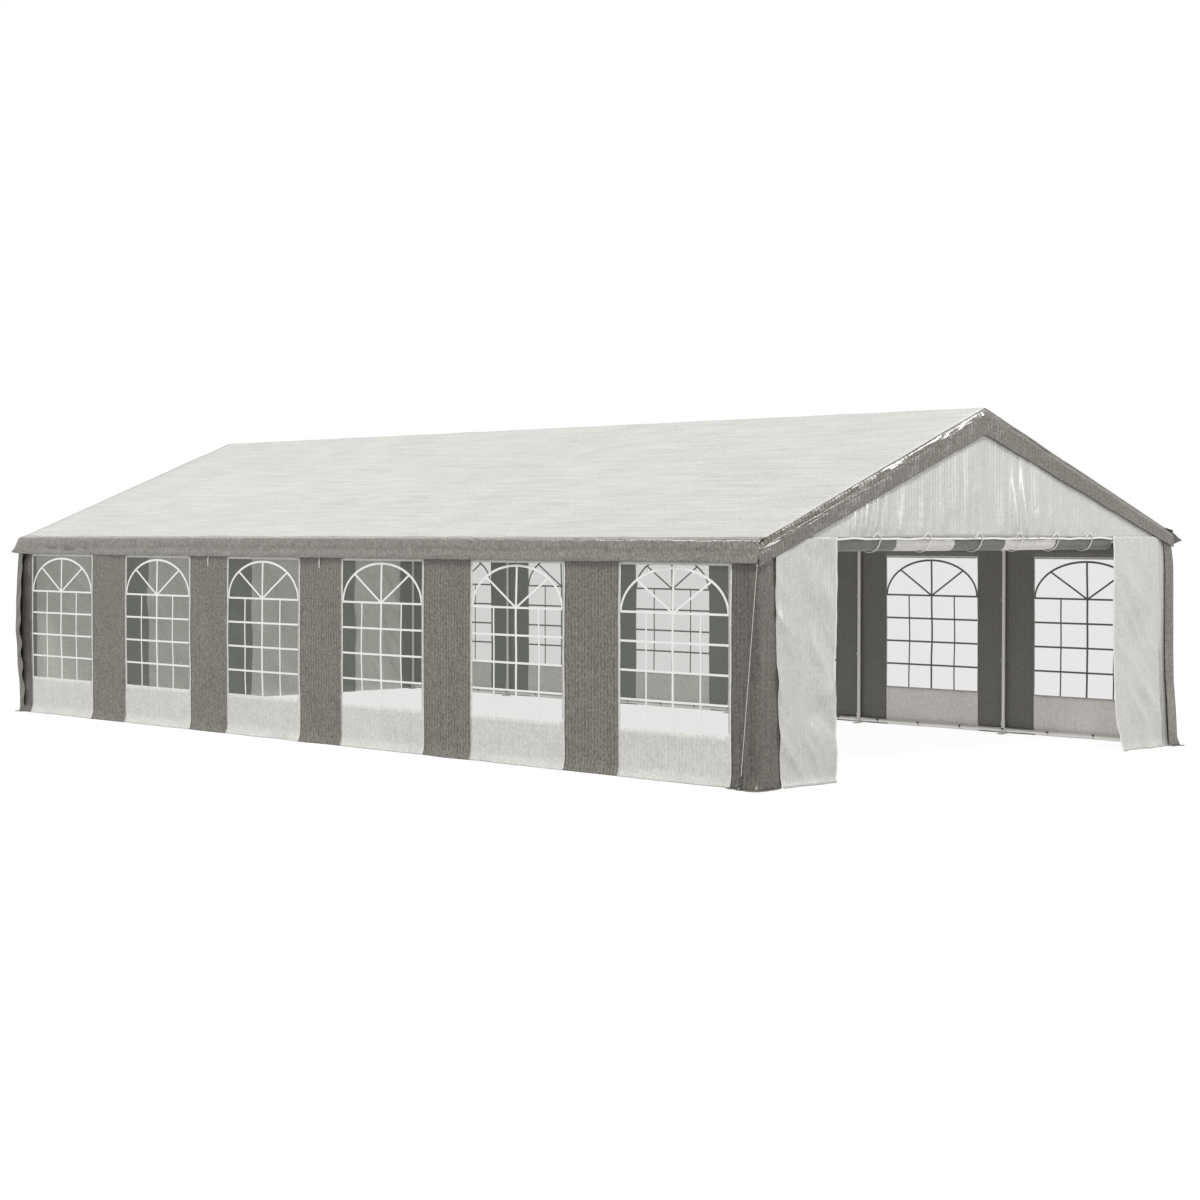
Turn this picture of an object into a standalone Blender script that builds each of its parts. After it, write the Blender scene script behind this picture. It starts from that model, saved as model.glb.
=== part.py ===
"""Marquee tent, 6 m by 12 m: a steel tube frame of seven portals under a cloth cover.

Metres, +Z up. The origin is on the ground at the centre of the plan. The front gable with
the open doorway faces -Y, and the six window bays of each long side run along Y.
"""
from math import atan, cos, pi

import bmesh
import bpy
from mathutils import Matrix, Vector

# Driving dimensions
WIDTH = 6.0              # over the cloth of the two long sides
LENGTH = 12.0            # over the cloth of the two gables
APEX_Z = 3.268           # top of the cover at the ridge
EAVE_TOP_Z = 2.062       # top of the cover where the roof plane meets the long side
BAYS = 6
CLOTH = 0.003            # thickness that every sheet of cloth is given
GAP = 0.0003             # clearance where two pieces touch
EDGE_Z = 0.002           # height of the walls' lower hems

# Steel tube
TUBE_R = 0.019
SLEEVE_R = 0.0235
SLEEVE_REACH = 0.11      # length of a sleeve on each side of a joint
BAR_INSET = 0.010        # ends of the long bars, inside the gable cloth
GROUND_BAR_Z = 0.045
FERRULE_TOP_Z = 0.14
PLATE = 0.004            # thickness of a foot plate
SOCKET_R = 0.0225        # sockets that hold the legs and rafters
SOCKET_START = 0.018     # from the long bar's axis to the near end of a socket
PLATE_REACH = 0.09       # foot plate inward from the leg's axis
ARM_SIDES = 8            # facets of the legs, rafters and their sockets
BAR_SIDES = 12           # facets of the long bars, their sleeves and the rolled door
BEND_STEPS = 5           # facets of the cloth's bend over the eave bar
SHARP_ANGLE = pi / 5     # a portal's edges are sharp above this angle
CUT_MARGIN = 0.1         # how far a cutter reaches past what it cuts

# Cover
SEAM_X = 2.935           # where the white roof meets the grey eave
VALANCE_LOW_Z = 1.880
RAKE_LOW_APEX_Z = 3.025
RAKE_LOW_EAVE_Z = 1.866
PEDIMENT_LOW_Z = 2.0753

# Long sides
STRIP_WIDTH = 0.69       # grey strips in front of the middle legs
CORNER_STRIP = 0.29      # grey strips beside the corners
HEADER_LOW_Z = 1.900
WALL_TOP_Z = 2.040
FILM_LOW_Z = 0.434
FILM_TOP_Z = 1.857
FILM_LAP = 0.014         # film behind the panel's edge
PANEL_BORDER = 0.030
LEFT_RETURN = 0.20       # grey corner strips that turn onto the gables
RIGHT_RETURN = 0.08

# Gable walls
DOOR_HALF = 2.03
ROLL_R = 0.085           # the rolled door hangs just behind the pediment's hem
ROLL_Z = 2.050
STRAP = 0.003            # thickness of a strap
STRAP_WIDTH = 0.012
STRAP_TOP_Z = 2.134
STRAP_TURN_Z = 2.045     # where the strap's front part meets its loop, under the hem
STRAP_PLACES = (-1.50, -0.81, -0.07, 0.53, 1.10, 1.64)
HEM_TAPE_TOP_Z = 2.090
HEM_TAPE = 0.002

# Guy ropes at the front corners
ROPE_R = 0.003
ROPE_TOP = Vector((3.0045, -5.995, VALANCE_LOW_Z - GAP))
ROPE_LOW = Vector((3.060, -5.870, 0.120))
PEG_R = 0.005
PEG_LOW = Vector((3.064, -5.861, 0.0006))

# Worked out from the dimensions above
HALF_W = WIDTH / 2
HALF_L = LENGTH / 2
BAY = LENGTH / BAYS
SLOPE = (APEX_Z - EAVE_TOP_Z) / HALF_W
PITCH = atan(SLOPE)
LEG_X = HALF_W - CLOTH - GAP - SLEEVE_R
END_Y = HALF_L - CLOTH - GAP - SOCKET_R
AXIS_DROP = (CLOTH + GAP + SLEEVE_R) / cos(PITCH)
RIDGE_AXIS_Z = APEX_Z - AXIS_DROP
EAVE_AXIS_Z = APEX_Z - SLOPE * LEG_X - AXIS_DROP
PURLIN_X = LEG_X / 2
PURLIN_AXIS_Z = APEX_Z - SLOPE * PURLIN_X - AXIS_DROP
BORE_R = (TUBE_R + GAP) / cos(pi / BAR_SIDES)
BAR_END_Y = HALF_L - BAR_INSET
ROLL_Y = -(HALF_L - CLOTH - GAP - STRAP - GAP - ROLL_R)
END_STRIP_Y = HALF_L - CORNER_STRIP
PANEL_LOW_Y = [-END_STRIP_Y] + [-HALF_L + BAY * bay + STRIP_WIDTH / 2 for bay in range(1, BAYS)]
PANEL_HIGH_Y = [-y for y in PANEL_LOW_Y[::-1]]

# Finishes: colour, roughness, metallic, alpha
FINISHES = {
    "white_steel": ((0.80, 0.80, 0.78), 0.35, 0.4, 1.0),
    "white_cloth": ((0.82, 0.81, 0.78), 0.45, 0.0, 1.0),
    "grey_cloth": ((0.19, 0.18, 0.165), 0.45, 0.0, 1.0),
    "clear_film": ((0.86, 0.87, 0.86), 0.12, 0.0, 0.35),
    "white_webbing": ((0.86, 0.86, 0.84), 0.75, 0.0, 1.0),
    "white_rope": ((0.85, 0.85, 0.82), 0.80, 0.0, 1.0),
    "peg_steel": ((0.45, 0.45, 0.46), 0.40, 0.9, 1.0),
}


def clear_scene():
    """Start from an empty file."""
    for thing in list(bpy.data.objects):
        bpy.data.objects.remove(thing, do_unlink=True)


def new_collection(name):
    """A collection linked to the scene."""
    collection = bpy.data.collections.new(name)
    bpy.context.scene.collection.children.link(collection)
    return collection


clear_scene()
TENT = new_collection("marquee_tent")
CUTTERS = new_collection("cutters")


def finish(thing, kind):
    """Give the object a material of its own, of the named kind."""
    colour, roughness, metallic, alpha = FINISHES[kind]
    material = bpy.data.materials.new(thing.name + "_" + kind)
    material.use_nodes = True
    shader = material.node_tree.nodes["Principled BSDF"]
    shader.inputs["Base Color"].default_value = (*colour, 1.0)
    shader.inputs["Roughness"].default_value = roughness
    shader.inputs["Metallic"].default_value = metallic
    shader.inputs["Alpha"].default_value = alpha
    thing.data.materials.clear()
    thing.data.materials.append(material)


def mesh_object(name, mesh, collection=TENT):
    """Put a mesh into the scene as a named object."""
    thing = bpy.data.objects.new(name, mesh)
    collection.objects.link(thing)
    return thing


def from_bmesh(name, shape, collection=TENT):
    """Close a bmesh and put it into the scene."""
    mesh = bpy.data.meshes.new(name)
    bmesh.ops.recalc_face_normals(shape, faces=shape.faces)
    shape.to_mesh(mesh)
    shape.free()
    return mesh_object(name, mesh, collection)


def add_box(shape, low, high):
    """Add a box between two corners to a bmesh."""
    low, high = Vector(low), Vector(high)
    size = high - low
    place = Matrix.Translation((low + high) / 2) @ Matrix.Diagonal((*size, 1.0))
    bmesh.ops.create_cube(shape, size=1.0, matrix=place)


def add_tube(shape, start, end, radius, sides):
    """Add a closed cylinder between two points to a bmesh."""
    start, end = Vector(start), Vector(end)
    run = end - start
    turn = Vector((0, 0, 1)).rotation_difference(run).to_matrix().to_4x4()
    place = Matrix.Translation((start + end) / 2) @ turn
    bmesh.ops.create_cone(
        shape, cap_ends=True, segments=sides, radius1=radius, radius2=radius,
        depth=run.length, matrix=place)


def box(name, low, high, collection=TENT):
    """A box between two corners."""
    shape = bmesh.new()
    add_box(shape, low, high)
    return from_bmesh(name, shape, collection)


def tube(name, start, end, radius, collection=TENT, sides=BAR_SIDES):
    """A closed cylinder between two points."""
    shape = bmesh.new()
    add_tube(shape, start, end, radius, sides)
    thing = from_bmesh(name, shape, collection)
    thing.data.shade_smooth()
    thing.data.set_sharp_from_angle(angle=pi / 4)
    return thing


# Planes that a flat outline can be drawn in: its two axes and its normal, as matrix columns
PLAN = Matrix(((1, 0, 0, 0), (0, 1, 0, 0), (0, 0, 1, 0), (0, 0, 0, 1)))
GABLE = Matrix(((1, 0, 0, 0), (0, 0, -1, 0), (0, 1, 0, 0), (0, 0, 0, 1)))
SIDE = Matrix(((0, 0, 1, 0), (1, 0, 0, 0), (0, 1, 0, 0), (0, 0, 0, 1)))


def flat_solid(name, outlines, plane, middle, thickness, collection=TENT):
    """Thicken flat outlines into a solid. Any outline after the first is a hole."""
    curve = bpy.data.curves.new(name, "CURVE")
    curve.dimensions = "2D"
    curve.fill_mode = "BOTH"
    curve.extrude = thickness / 2
    for outline in outlines:
        spline = curve.splines.new("POLY")
        spline.points.add(len(outline) - 1)
        for point, (across, up) in zip(spline.points, outline):
            point.co = (across, up, 0.0, 1.0)
        spline.use_cyclic_u = True
    drawn = bpy.data.objects.new(name + "_outline", curve)
    drawn.matrix_world = Matrix.Translation(middle) @ plane
    collection.objects.link(drawn)
    bpy.context.view_layer.update()
    mesh = bpy.data.meshes.new_from_object(
        drawn.evaluated_get(bpy.context.evaluated_depsgraph_get()))
    mesh.transform(drawn.matrix_world)
    bpy.data.objects.remove(drawn)
    shape = bmesh.new()
    shape.from_mesh(mesh)
    bpy.data.meshes.remove(mesh)
    bmesh.ops.remove_doubles(shape, verts=shape.verts, dist=0.00001)
    return from_bmesh(name, shape, collection)


def combine(base, tool, operation):
    """Apply a Boolean of base with tool, and remove the tool."""
    modifier = base.modifiers.new(operation.lower(), "BOOLEAN")
    modifier.operation = operation
    modifier.solver = "EXACT"
    modifier.object = tool
    bpy.context.view_layer.update()
    mesh = bpy.data.meshes.new_from_object(
        base.evaluated_get(bpy.context.evaluated_depsgraph_get()))
    base.modifiers.clear()
    base.data = mesh
    bpy.data.objects.remove(tool)
    return base


def side_name(side):
    """Left is -X as seen from the front."""
    return "left" if side < 0 else "right"


# Steel frame
def portal_mesh(inward, outward):
    """One portal: two legs, two rafters and the sleeves that the long bars run through.

    The sleeves reach inward along +Y and outward along -Y from the portal's plane.
    """
    pieces = []

    def add(start, end, radius, sides=ARM_SIDES):
        pieces.append(tube("portal_piece", start, end, radius, CUTTERS, sides))

    joints = [(0.0, RIDGE_AXIS_Z)]
    for side in (-1, 1):
        eave = Vector((side * LEG_X, 0, EAVE_AXIS_Z))
        ridge = Vector((0, 0, RIDGE_AXIS_Z))
        up = Vector((0, 0, 1))
        along = (ridge - eave).normalized()
        add((eave.x, 0, PLATE / 4), eave - up * SOCKET_START * 2, TUBE_R)
        add((eave.x, 0, PLATE / 2), (eave.x, 0, FERRULE_TOP_Z), SOCKET_R)
        add(eave - up * SLEEVE_REACH, eave - up * SOCKET_START, SOCKET_R)
        add(eave + along * SOCKET_START * 2, ridge - along * SOCKET_START * 2, TUBE_R)
        add(eave + along * SOCKET_START, eave + along * SLEEVE_REACH, SOCKET_R)
        add(ridge - along * SLEEVE_REACH, ridge - along * SOCKET_START, SOCKET_R)
        outer, inner = side * (LEG_X + SLEEVE_R), side * (LEG_X - PLATE_REACH)
        pieces.append(box(
            "portal_piece", (min(outer, inner), -min(outward, SLEEVE_R), 0.0),
            (max(outer, inner), SLEEVE_R * 2, PLATE), CUTTERS))
        joints += [(side * LEG_X, EAVE_AXIS_Z), (side * PURLIN_X, PURLIN_AXIS_Z),
                   (side * LEG_X, GROUND_BAR_Z)]
    for x, z in joints:
        add((x, -outward, z), (x, inward, z), SLEEVE_R, BAR_SIDES)
    base = pieces[0]
    for piece in pieces[1:]:
        combine(base, piece, "UNION")
    for x, z in joints:
        combine(base, tube("bore", (x, -outward - CUT_MARGIN, z), (x, inward + CUT_MARGIN, z), BORE_R, CUTTERS),
                "DIFFERENCE")
    mesh = base.data
    bpy.data.objects.remove(base)
    mesh.shade_smooth()
    mesh.set_sharp_from_angle(angle=SHARP_ANGLE)
    return mesh


def portals():
    """Seven portals, one at each end of every bay."""
    end_mesh = portal_mesh(SLEEVE_REACH, HALF_L - BAR_INSET - END_Y)
    middle_mesh = portal_mesh(SLEEVE_REACH, SLEEVE_REACH)
    for number in range(BAYS + 1):
        at_end = number in (0, BAYS)
        mesh = (end_mesh if at_end else middle_mesh).copy()
        thing = mesh_object("frame_" + str(number + 1), mesh)
        thing.location.y = -HALF_L + BAY * number
        if at_end:
            thing.location.y = END_Y if number else -END_Y
        if number == BAYS:
            thing.rotation_euler.z = pi
        finish(thing, "white_steel")


def long_bar(name, x, z):
    """A tube that runs the tent's whole length through the portals' sleeves."""
    thing = tube(name, (x, -BAR_END_Y, z), (x, BAR_END_Y, z), TUBE_R)
    finish(thing, "white_steel")


def long_bars():
    """Ridge bar, and on each side an eave bar, a purlin and a ground bar."""
    long_bar("ridge_bar", 0.0, RIDGE_AXIS_Z)
    for side in (-1, 1):
        long_bar(side_name(side) + "_eave_bar", side * LEG_X, EAVE_AXIS_Z)
        long_bar(side_name(side) + "_purlin", side * PURLIN_X, PURLIN_AXIS_Z)
        long_bar(side_name(side) + "_ground_bar", side * LEG_X, GROUND_BAR_Z)


# Cover
def roof_z(x):
    """Height of the cover's top face."""
    return APEX_Z - SLOPE * abs(x)


def roof_under_z(x):
    """Height of the cover's lower face."""
    return roof_z(x) - CLOTH / cos(PITCH)


def roof_cover():
    """Two white slopes in one piece, from eave seam to eave seam."""
    top = [(-SEAM_X, roof_z(SEAM_X)), (0, APEX_Z), (SEAM_X, roof_z(SEAM_X))]
    under = [(x, roof_under_z(x)) for x in (SEAM_X, 0, -SEAM_X)]
    thing = flat_solid("roof_cover", [top + under], GABLE, (0, 0, 0), 2 * (HALF_L - GAP))
    finish(thing, "white_cloth")


def eave_bend(thickness):
    """Points around the eave bar, from the roof slope to the vertical skirt.

    The radius grows a little on the way down, to clear the wall cloth inside the skirt.
    """
    points = []
    for step in range(BEND_STEPS + 1):
        share = step / BEND_STEPS
        angle = (pi / 2 - PITCH) * (1 - share)
        radius = SLEEVE_R + GAP + share * (CLOTH + GAP) + thickness
        points.append(Vector((LEG_X, EAVE_AXIS_Z)) + radius * Vector((cos(angle), cos(pi / 2 - angle))))
    return [tuple(point) for point in points]


SKIRT_X = eave_bend(CLOTH)[-1][0]     # outer face of the valance


def eave_valances():
    """Grey valance on each long side: from the seam, over the eave bar, and down."""
    seam = SEAM_X + GAP
    outer = [(seam, roof_z(seam))] + eave_bend(CLOTH) + [(SKIRT_X, VALANCE_LOW_Z)]
    inner = [(seam, roof_under_z(seam))] + eave_bend(0.0) + [(SKIRT_X - CLOTH, VALANCE_LOW_Z)]
    for side in (-1, 1):
        outline = [(side * x, z) for x, z in outer + inner[::-1]]
        thing = flat_solid(
            side_name(side) + "_eave_valance", [outline], GABLE, (0, 0, 0), LENGTH)
        finish(thing, "grey_cloth")


def rake_trims():
    """Grey band under each sloping edge of the roof, across the gable."""
    edge = eave_bend(CLOTH) + [(SKIRT_X, RAKE_LOW_EAVE_Z)]
    right = [(0, APEX_Z)] + edge
    left = [(-x, z) for x, z in edge[::-1]]
    outline = right + [(0, RAKE_LOW_APEX_Z)] + left
    for end, name in ((-1, "front_rake_trim"), (1, "back_rake_trim")):
        middle = (0, end * (HALF_L + GAP + CLOTH / 2), 0)
        thing = flat_solid(name, [outline], GABLE, middle, CLOTH)
        finish(thing, "grey_cloth")


def pediments():
    """White triangle of cloth that closes each gable under the roof."""
    clear = GAP / cos(PITCH)
    reach = (roof_under_z(0) - clear - PEDIMENT_LOW_Z) / SLOPE
    outline = [(-reach, PEDIMENT_LOW_Z), (reach, PEDIMENT_LOW_Z), (0, roof_under_z(0) - clear)]
    for end, name in ((-1, "front_pediment"), (1, "back_pediment")):
        middle = (0, end * (HALF_L - CLOTH / 2), 0)
        thing = flat_solid(name, [outline], GABLE, middle, CLOTH)
        finish(thing, "white_cloth")


# Long sides
def wall_cloths():
    """Grey cloth of each long side: header band, strips at the legs, and corner returns."""
    for side in (-1, 1):
        front_turn = HALF_W - (LEFT_RETURN if side < 0 else RIGHT_RETURN)
        back_turn = HALF_W - LEFT_RETURN
        inner_x, inner_y = HALF_W - CLOTH, HALF_L - CLOTH
        outline = [
            (front_turn, -HALF_L), (HALF_W, -HALF_L), (HALF_W, HALF_L), (back_turn, HALF_L),
            (back_turn, inner_y), (inner_x, inner_y), (inner_x, -inner_y), (front_turn, -inner_y)]
        name = side_name(side) + "_wall_cloth"
        middle = (0, 0, (EDGE_Z + WALL_TOP_Z) / 2)
        sheet = flat_solid(
            name, [[(side * x, y) for x, y in outline]], PLAN, middle, WALL_TOP_Z - EDGE_Z)
        windows = bmesh.new()
        for low, high in zip(PANEL_LOW_Y, PANEL_HIGH_Y):
            add_box(windows, (side * HALF_W - CUT_MARGIN, low, -CUT_MARGIN),
                    (side * HALF_W + CUT_MARGIN, high, HEADER_LOW_Z))
        cutter = from_bmesh("window_cutter", windows, CUTTERS)
        finish(combine(sheet, cutter, "DIFFERENCE"), "grey_cloth")


def rectangle(low_across, low_up, high_across, high_up):
    """Outline of a rectangle."""
    return [(low_across, low_up), (high_across, low_up), (high_across, high_up), (low_across, high_up)]


def window_panels():
    """White panel in each bay, with the window cut through it."""
    for side in (-1, 1):
        for number, (low, high) in enumerate(zip(PANEL_LOW_Y, PANEL_HIGH_Y), start=1):
            outlines = [
                rectangle(low + GAP, EDGE_Z, high - GAP, HEADER_LOW_Z - GAP),
                rectangle(low + PANEL_BORDER, FILM_LOW_Z, high - PANEL_BORDER, FILM_TOP_Z)]
            name = side_name(side) + "_window_panel_" + str(number)
            middle = (side * (HALF_W - CLOTH / 2), 0, 0)
            finish(flat_solid(name, outlines, SIDE, middle, CLOTH), "white_cloth")


def window_films():
    """Clear film behind all the windows of a long side, against the inside of the cloth."""
    reach = END_STRIP_Y - PANEL_BORDER + FILM_LAP
    outer = HALF_W - CLOTH - GAP
    for side in (-1, 1):
        near, far = side * outer, side * (outer - CLOTH)
        thing = box(
            side_name(side) + "_window_film",
            (min(near, far), -reach, FILM_LOW_Z - FILM_LAP),
            (max(near, far), reach, FILM_TOP_Z + FILM_LAP))
        finish(thing, "clear_film")


# Gable walls
def gable_sheet(name, end, low_x, high_x, kind):
    """A flat sheet of a gable wall, from the ground to the pediment."""
    outline = rectangle(low_x, EDGE_Z, high_x, PEDIMENT_LOW_Z - GAP)
    middle = (0, end * (HALF_L - CLOTH / 2), 0)
    finish(flat_solid(name, [outline], GABLE, middle, CLOTH), kind)


def gable_walls():
    """Curtains beside the front doorway, and the closed back wall with its door."""
    left, right = HALF_W - LEFT_RETURN - GAP, HALF_W - RIGHT_RETURN - GAP
    door = DOOR_HALF + GAP
    gable_sheet("front_left_curtain", -1, -left, -door, "white_cloth")
    gable_sheet("front_right_curtain", -1, door, right, "white_cloth")
    gable_sheet("back_left_curtain", 1, -left, -door, "white_cloth")
    gable_sheet("back_right_curtain", 1, door, left, "white_cloth")
    gable_sheet("back_door", 1, -DOOR_HALF, DOOR_HALF, "grey_cloth")


def rolled_door():
    """The front door, rolled up behind the pediment's hem."""
    thing = tube("rolled_door", (-DOOR_HALF, ROLL_Y, ROLL_Z), (DOOR_HALF, ROLL_Y, ROLL_Z), ROLL_R)
    finish(thing, "grey_cloth")


def door_straps():
    """Six loops round the roll, each with a front part over the hem, joined by the hem's tape."""
    hem_y = -HALF_L - GAP
    reach = STRAP_PLACES[-1] + STRAP_WIDTH
    straps = box("door_straps", (-reach, hem_y - HEM_TAPE, PEDIMENT_LOW_Z),
                 (reach, hem_y, HEM_TAPE_TOP_Z))
    inner = (ROLL_R + GAP) / cos(pi / BAR_SIDES)
    outer = ROLL_R + GAP + STRAP
    for x in STRAP_PLACES:
        low, high = x - STRAP_WIDTH / 2, x + STRAP_WIDTH / 2
        loop = tube("loop", (low, ROLL_Y, ROLL_Z), (high, ROLL_Y, ROLL_Z), outer, CUTTERS)
        hole = tube("hole", (low - CUT_MARGIN, ROLL_Y, ROLL_Z), (high + CUT_MARGIN, ROLL_Y, ROLL_Z),
                    inner, CUTTERS)
        combine(loop, hole, "DIFFERENCE")
        narrow = STRAP_WIDTH / 8
        front = box("front", (low + narrow, hem_y - HEM_TAPE * 1.5, STRAP_TURN_Z),
                    (high - narrow, hem_y, STRAP_TOP_Z), CUTTERS)
        turn = box("turn", (low + narrow * 2, hem_y - HEM_TAPE / 2, STRAP_TURN_Z + STRAP),
                   (high - narrow * 2, ROLL_Y - ROLL_R - GAP * 3, PEDIMENT_LOW_Z - GAP), CUTTERS)
        for piece in (front, turn, loop):
            combine(straps, piece, "UNION")
    finish(straps, "white_webbing")


# Guy ropes
def guy_ropes():
    """A taut rope from each front corner to a peg at the ground."""
    for side in (-1, 1):
        mirror = Vector((side, 1, 1))
        top, low, peg = ROPE_TOP * mirror, ROPE_LOW * mirror, PEG_LOW * mirror
        rope = tube("front_" + side_name(side) + "_guy_rope", top, low, ROPE_R)
        finish(rope, "white_rope")
        down = (peg - low).normalized()
        thing = tube("front_" + side_name(side) + "_peg", low + down * 2 * GAP, peg, PEG_R)
        finish(thing, "peg_steel")


portals()
long_bars()
roof_cover()
eave_valances()
rake_trims()
pediments()
wall_cloths()
window_panels()
window_films()
gable_walls()
rolled_door()
door_straps()
guy_ropes()
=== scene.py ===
"""Looks of the marquee tent: cloth, windows, frame, ropes, floor, light and camera.

Metres, +Z up. The front gable with the open doorway faces -Y, and left is -X.
"""
from math import atan, cos, exp, pi, radians, sin, sqrt

import bpy
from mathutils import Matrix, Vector, noise


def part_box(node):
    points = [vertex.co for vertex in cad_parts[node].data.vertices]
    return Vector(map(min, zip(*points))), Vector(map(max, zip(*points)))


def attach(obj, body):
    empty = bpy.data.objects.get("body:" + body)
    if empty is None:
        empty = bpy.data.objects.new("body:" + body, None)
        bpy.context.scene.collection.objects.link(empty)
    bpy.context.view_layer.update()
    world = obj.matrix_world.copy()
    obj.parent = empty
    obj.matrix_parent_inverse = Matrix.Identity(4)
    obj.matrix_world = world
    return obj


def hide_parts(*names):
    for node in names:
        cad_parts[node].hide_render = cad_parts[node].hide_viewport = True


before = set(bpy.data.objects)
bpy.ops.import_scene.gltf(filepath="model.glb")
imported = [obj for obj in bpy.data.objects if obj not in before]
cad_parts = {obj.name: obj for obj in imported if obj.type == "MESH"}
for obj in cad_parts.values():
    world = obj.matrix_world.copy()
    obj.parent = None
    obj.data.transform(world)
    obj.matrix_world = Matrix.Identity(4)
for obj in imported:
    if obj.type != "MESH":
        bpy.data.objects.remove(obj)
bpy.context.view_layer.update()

BODY = "root"


def low(node):
    """Lowest corner of a node's box."""
    return Vector(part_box(node)[0])


def high(node):
    """Highest corner of a node's box."""
    return Vector(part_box(node)[1])


def middle(node):
    """Middle of a node's box."""
    return (low(node) + high(node)) / 2


# Places that the frame gives
HALF_W = high("right_window_panel_1").x
HALF_L = high("back_pediment").y
APEX_Z = high("roof_cover").z
SEAM_X = high("roof_cover").x
PEDIMENT_LOW_Z = low("front_pediment").z
SLOPE = (high("front_pediment").z - PEDIMENT_LOW_Z) / high("front_pediment").x
PITCH = atan(SLOPE)
EAVE_AXIS = middle("right_eave_bar")
RIDGE_AXIS = middle("ridge_bar")
PURLIN_AXIS = middle("right_purlin")
GROUND_AXIS = middle("right_ground_bar")
TUBE_R = (high("ridge_bar").x - low("ridge_bar").x) / 2
BAR_END_Y = high("ridge_bar").y
VALANCE_LOW_Z = low("left_eave_valance").z
WALL_TOP_Z = high("left_wall_cloth").z
EDGE_Z = low("left_wall_cloth").z
PANEL_TOP_Z = high("left_window_panel_1").z
DOOR_HALF = high("rolled_door").x
ROLL = middle("rolled_door")
ROLL_R = (high("rolled_door").z - low("rolled_door").z) / 2
RETURN_X = HALF_W + low("front_left_curtain").x     # width of the wall's returns on the gables
BAYS = 6
BAY = 2 * HALF_L / BAYS
PORTAL_NODES = ["frame_" + str(number) for number in range(1, BAYS + 2)]

# Sizes of the cloth
CLOTH = 0.0012          # thickness of the coated cloth
LAP = 0.020             # where one cloth lies behind the next
BEHIND = 0.085          # how far the front left strip goes on behind the curtain
FREE_RETURN = 0.165     # width of the front right return, which hangs in front of its curtain
STEP = 0.045            # spacing of the points that shape the walls
STRIP_IN = -0.0016      # the strips lie behind the panels
PANEL_OUT = 0.0010
CORNER_R = 0.026
FILM_LOW_Z = 0.434
FILM_TOP_Z = 1.857
TRANSOM_Z = 1.447
ARCH_TOP_Z = 1.832
PANEL_BORDER = 0.030
SEAM_Z = 2.092          # seam between pediment and curtains
CURTAIN_TOP_Z = SEAM_Z + 0.006


# Small helpers
def smooth(share):
    """Ease from 0 to 1."""
    share = min(1.0, max(0.0, share))
    return share * share * (3 - 2 * share)


def above_zero(value, soft=0.003):
    """The value where it is positive, easing to 0 where it isn't."""
    return (value + sqrt(value * value + soft * soft)) / 2


def ripple(across, up, seed):
    """Soft noise between -1 and 1."""
    return noise.noise(Vector((across, up, seed)))


def spaced(marks, step):
    """Numbers from the first mark to the last, no further apart than step, with every mark among them."""
    found = [marks[0]]
    for start, end in zip(marks, marks[1:]):
        count = max(1, round(abs(end - start) / step + 0.49))
        found += [start + (end - start) * part / count for part in range(1, count + 1)]
    return found


def from_leg(y):
    """0 at a portal and 1 in the middle of a bay."""
    share = (y + HALF_L) / BAY
    return abs(share - round(share)) * 2


def side_name(side):
    """Left is -X as seen from the front."""
    return "left" if side < 0 else "right"


def end_name(end):
    """The front is at -Y."""
    return "front" if end < 0 else "back"


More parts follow.
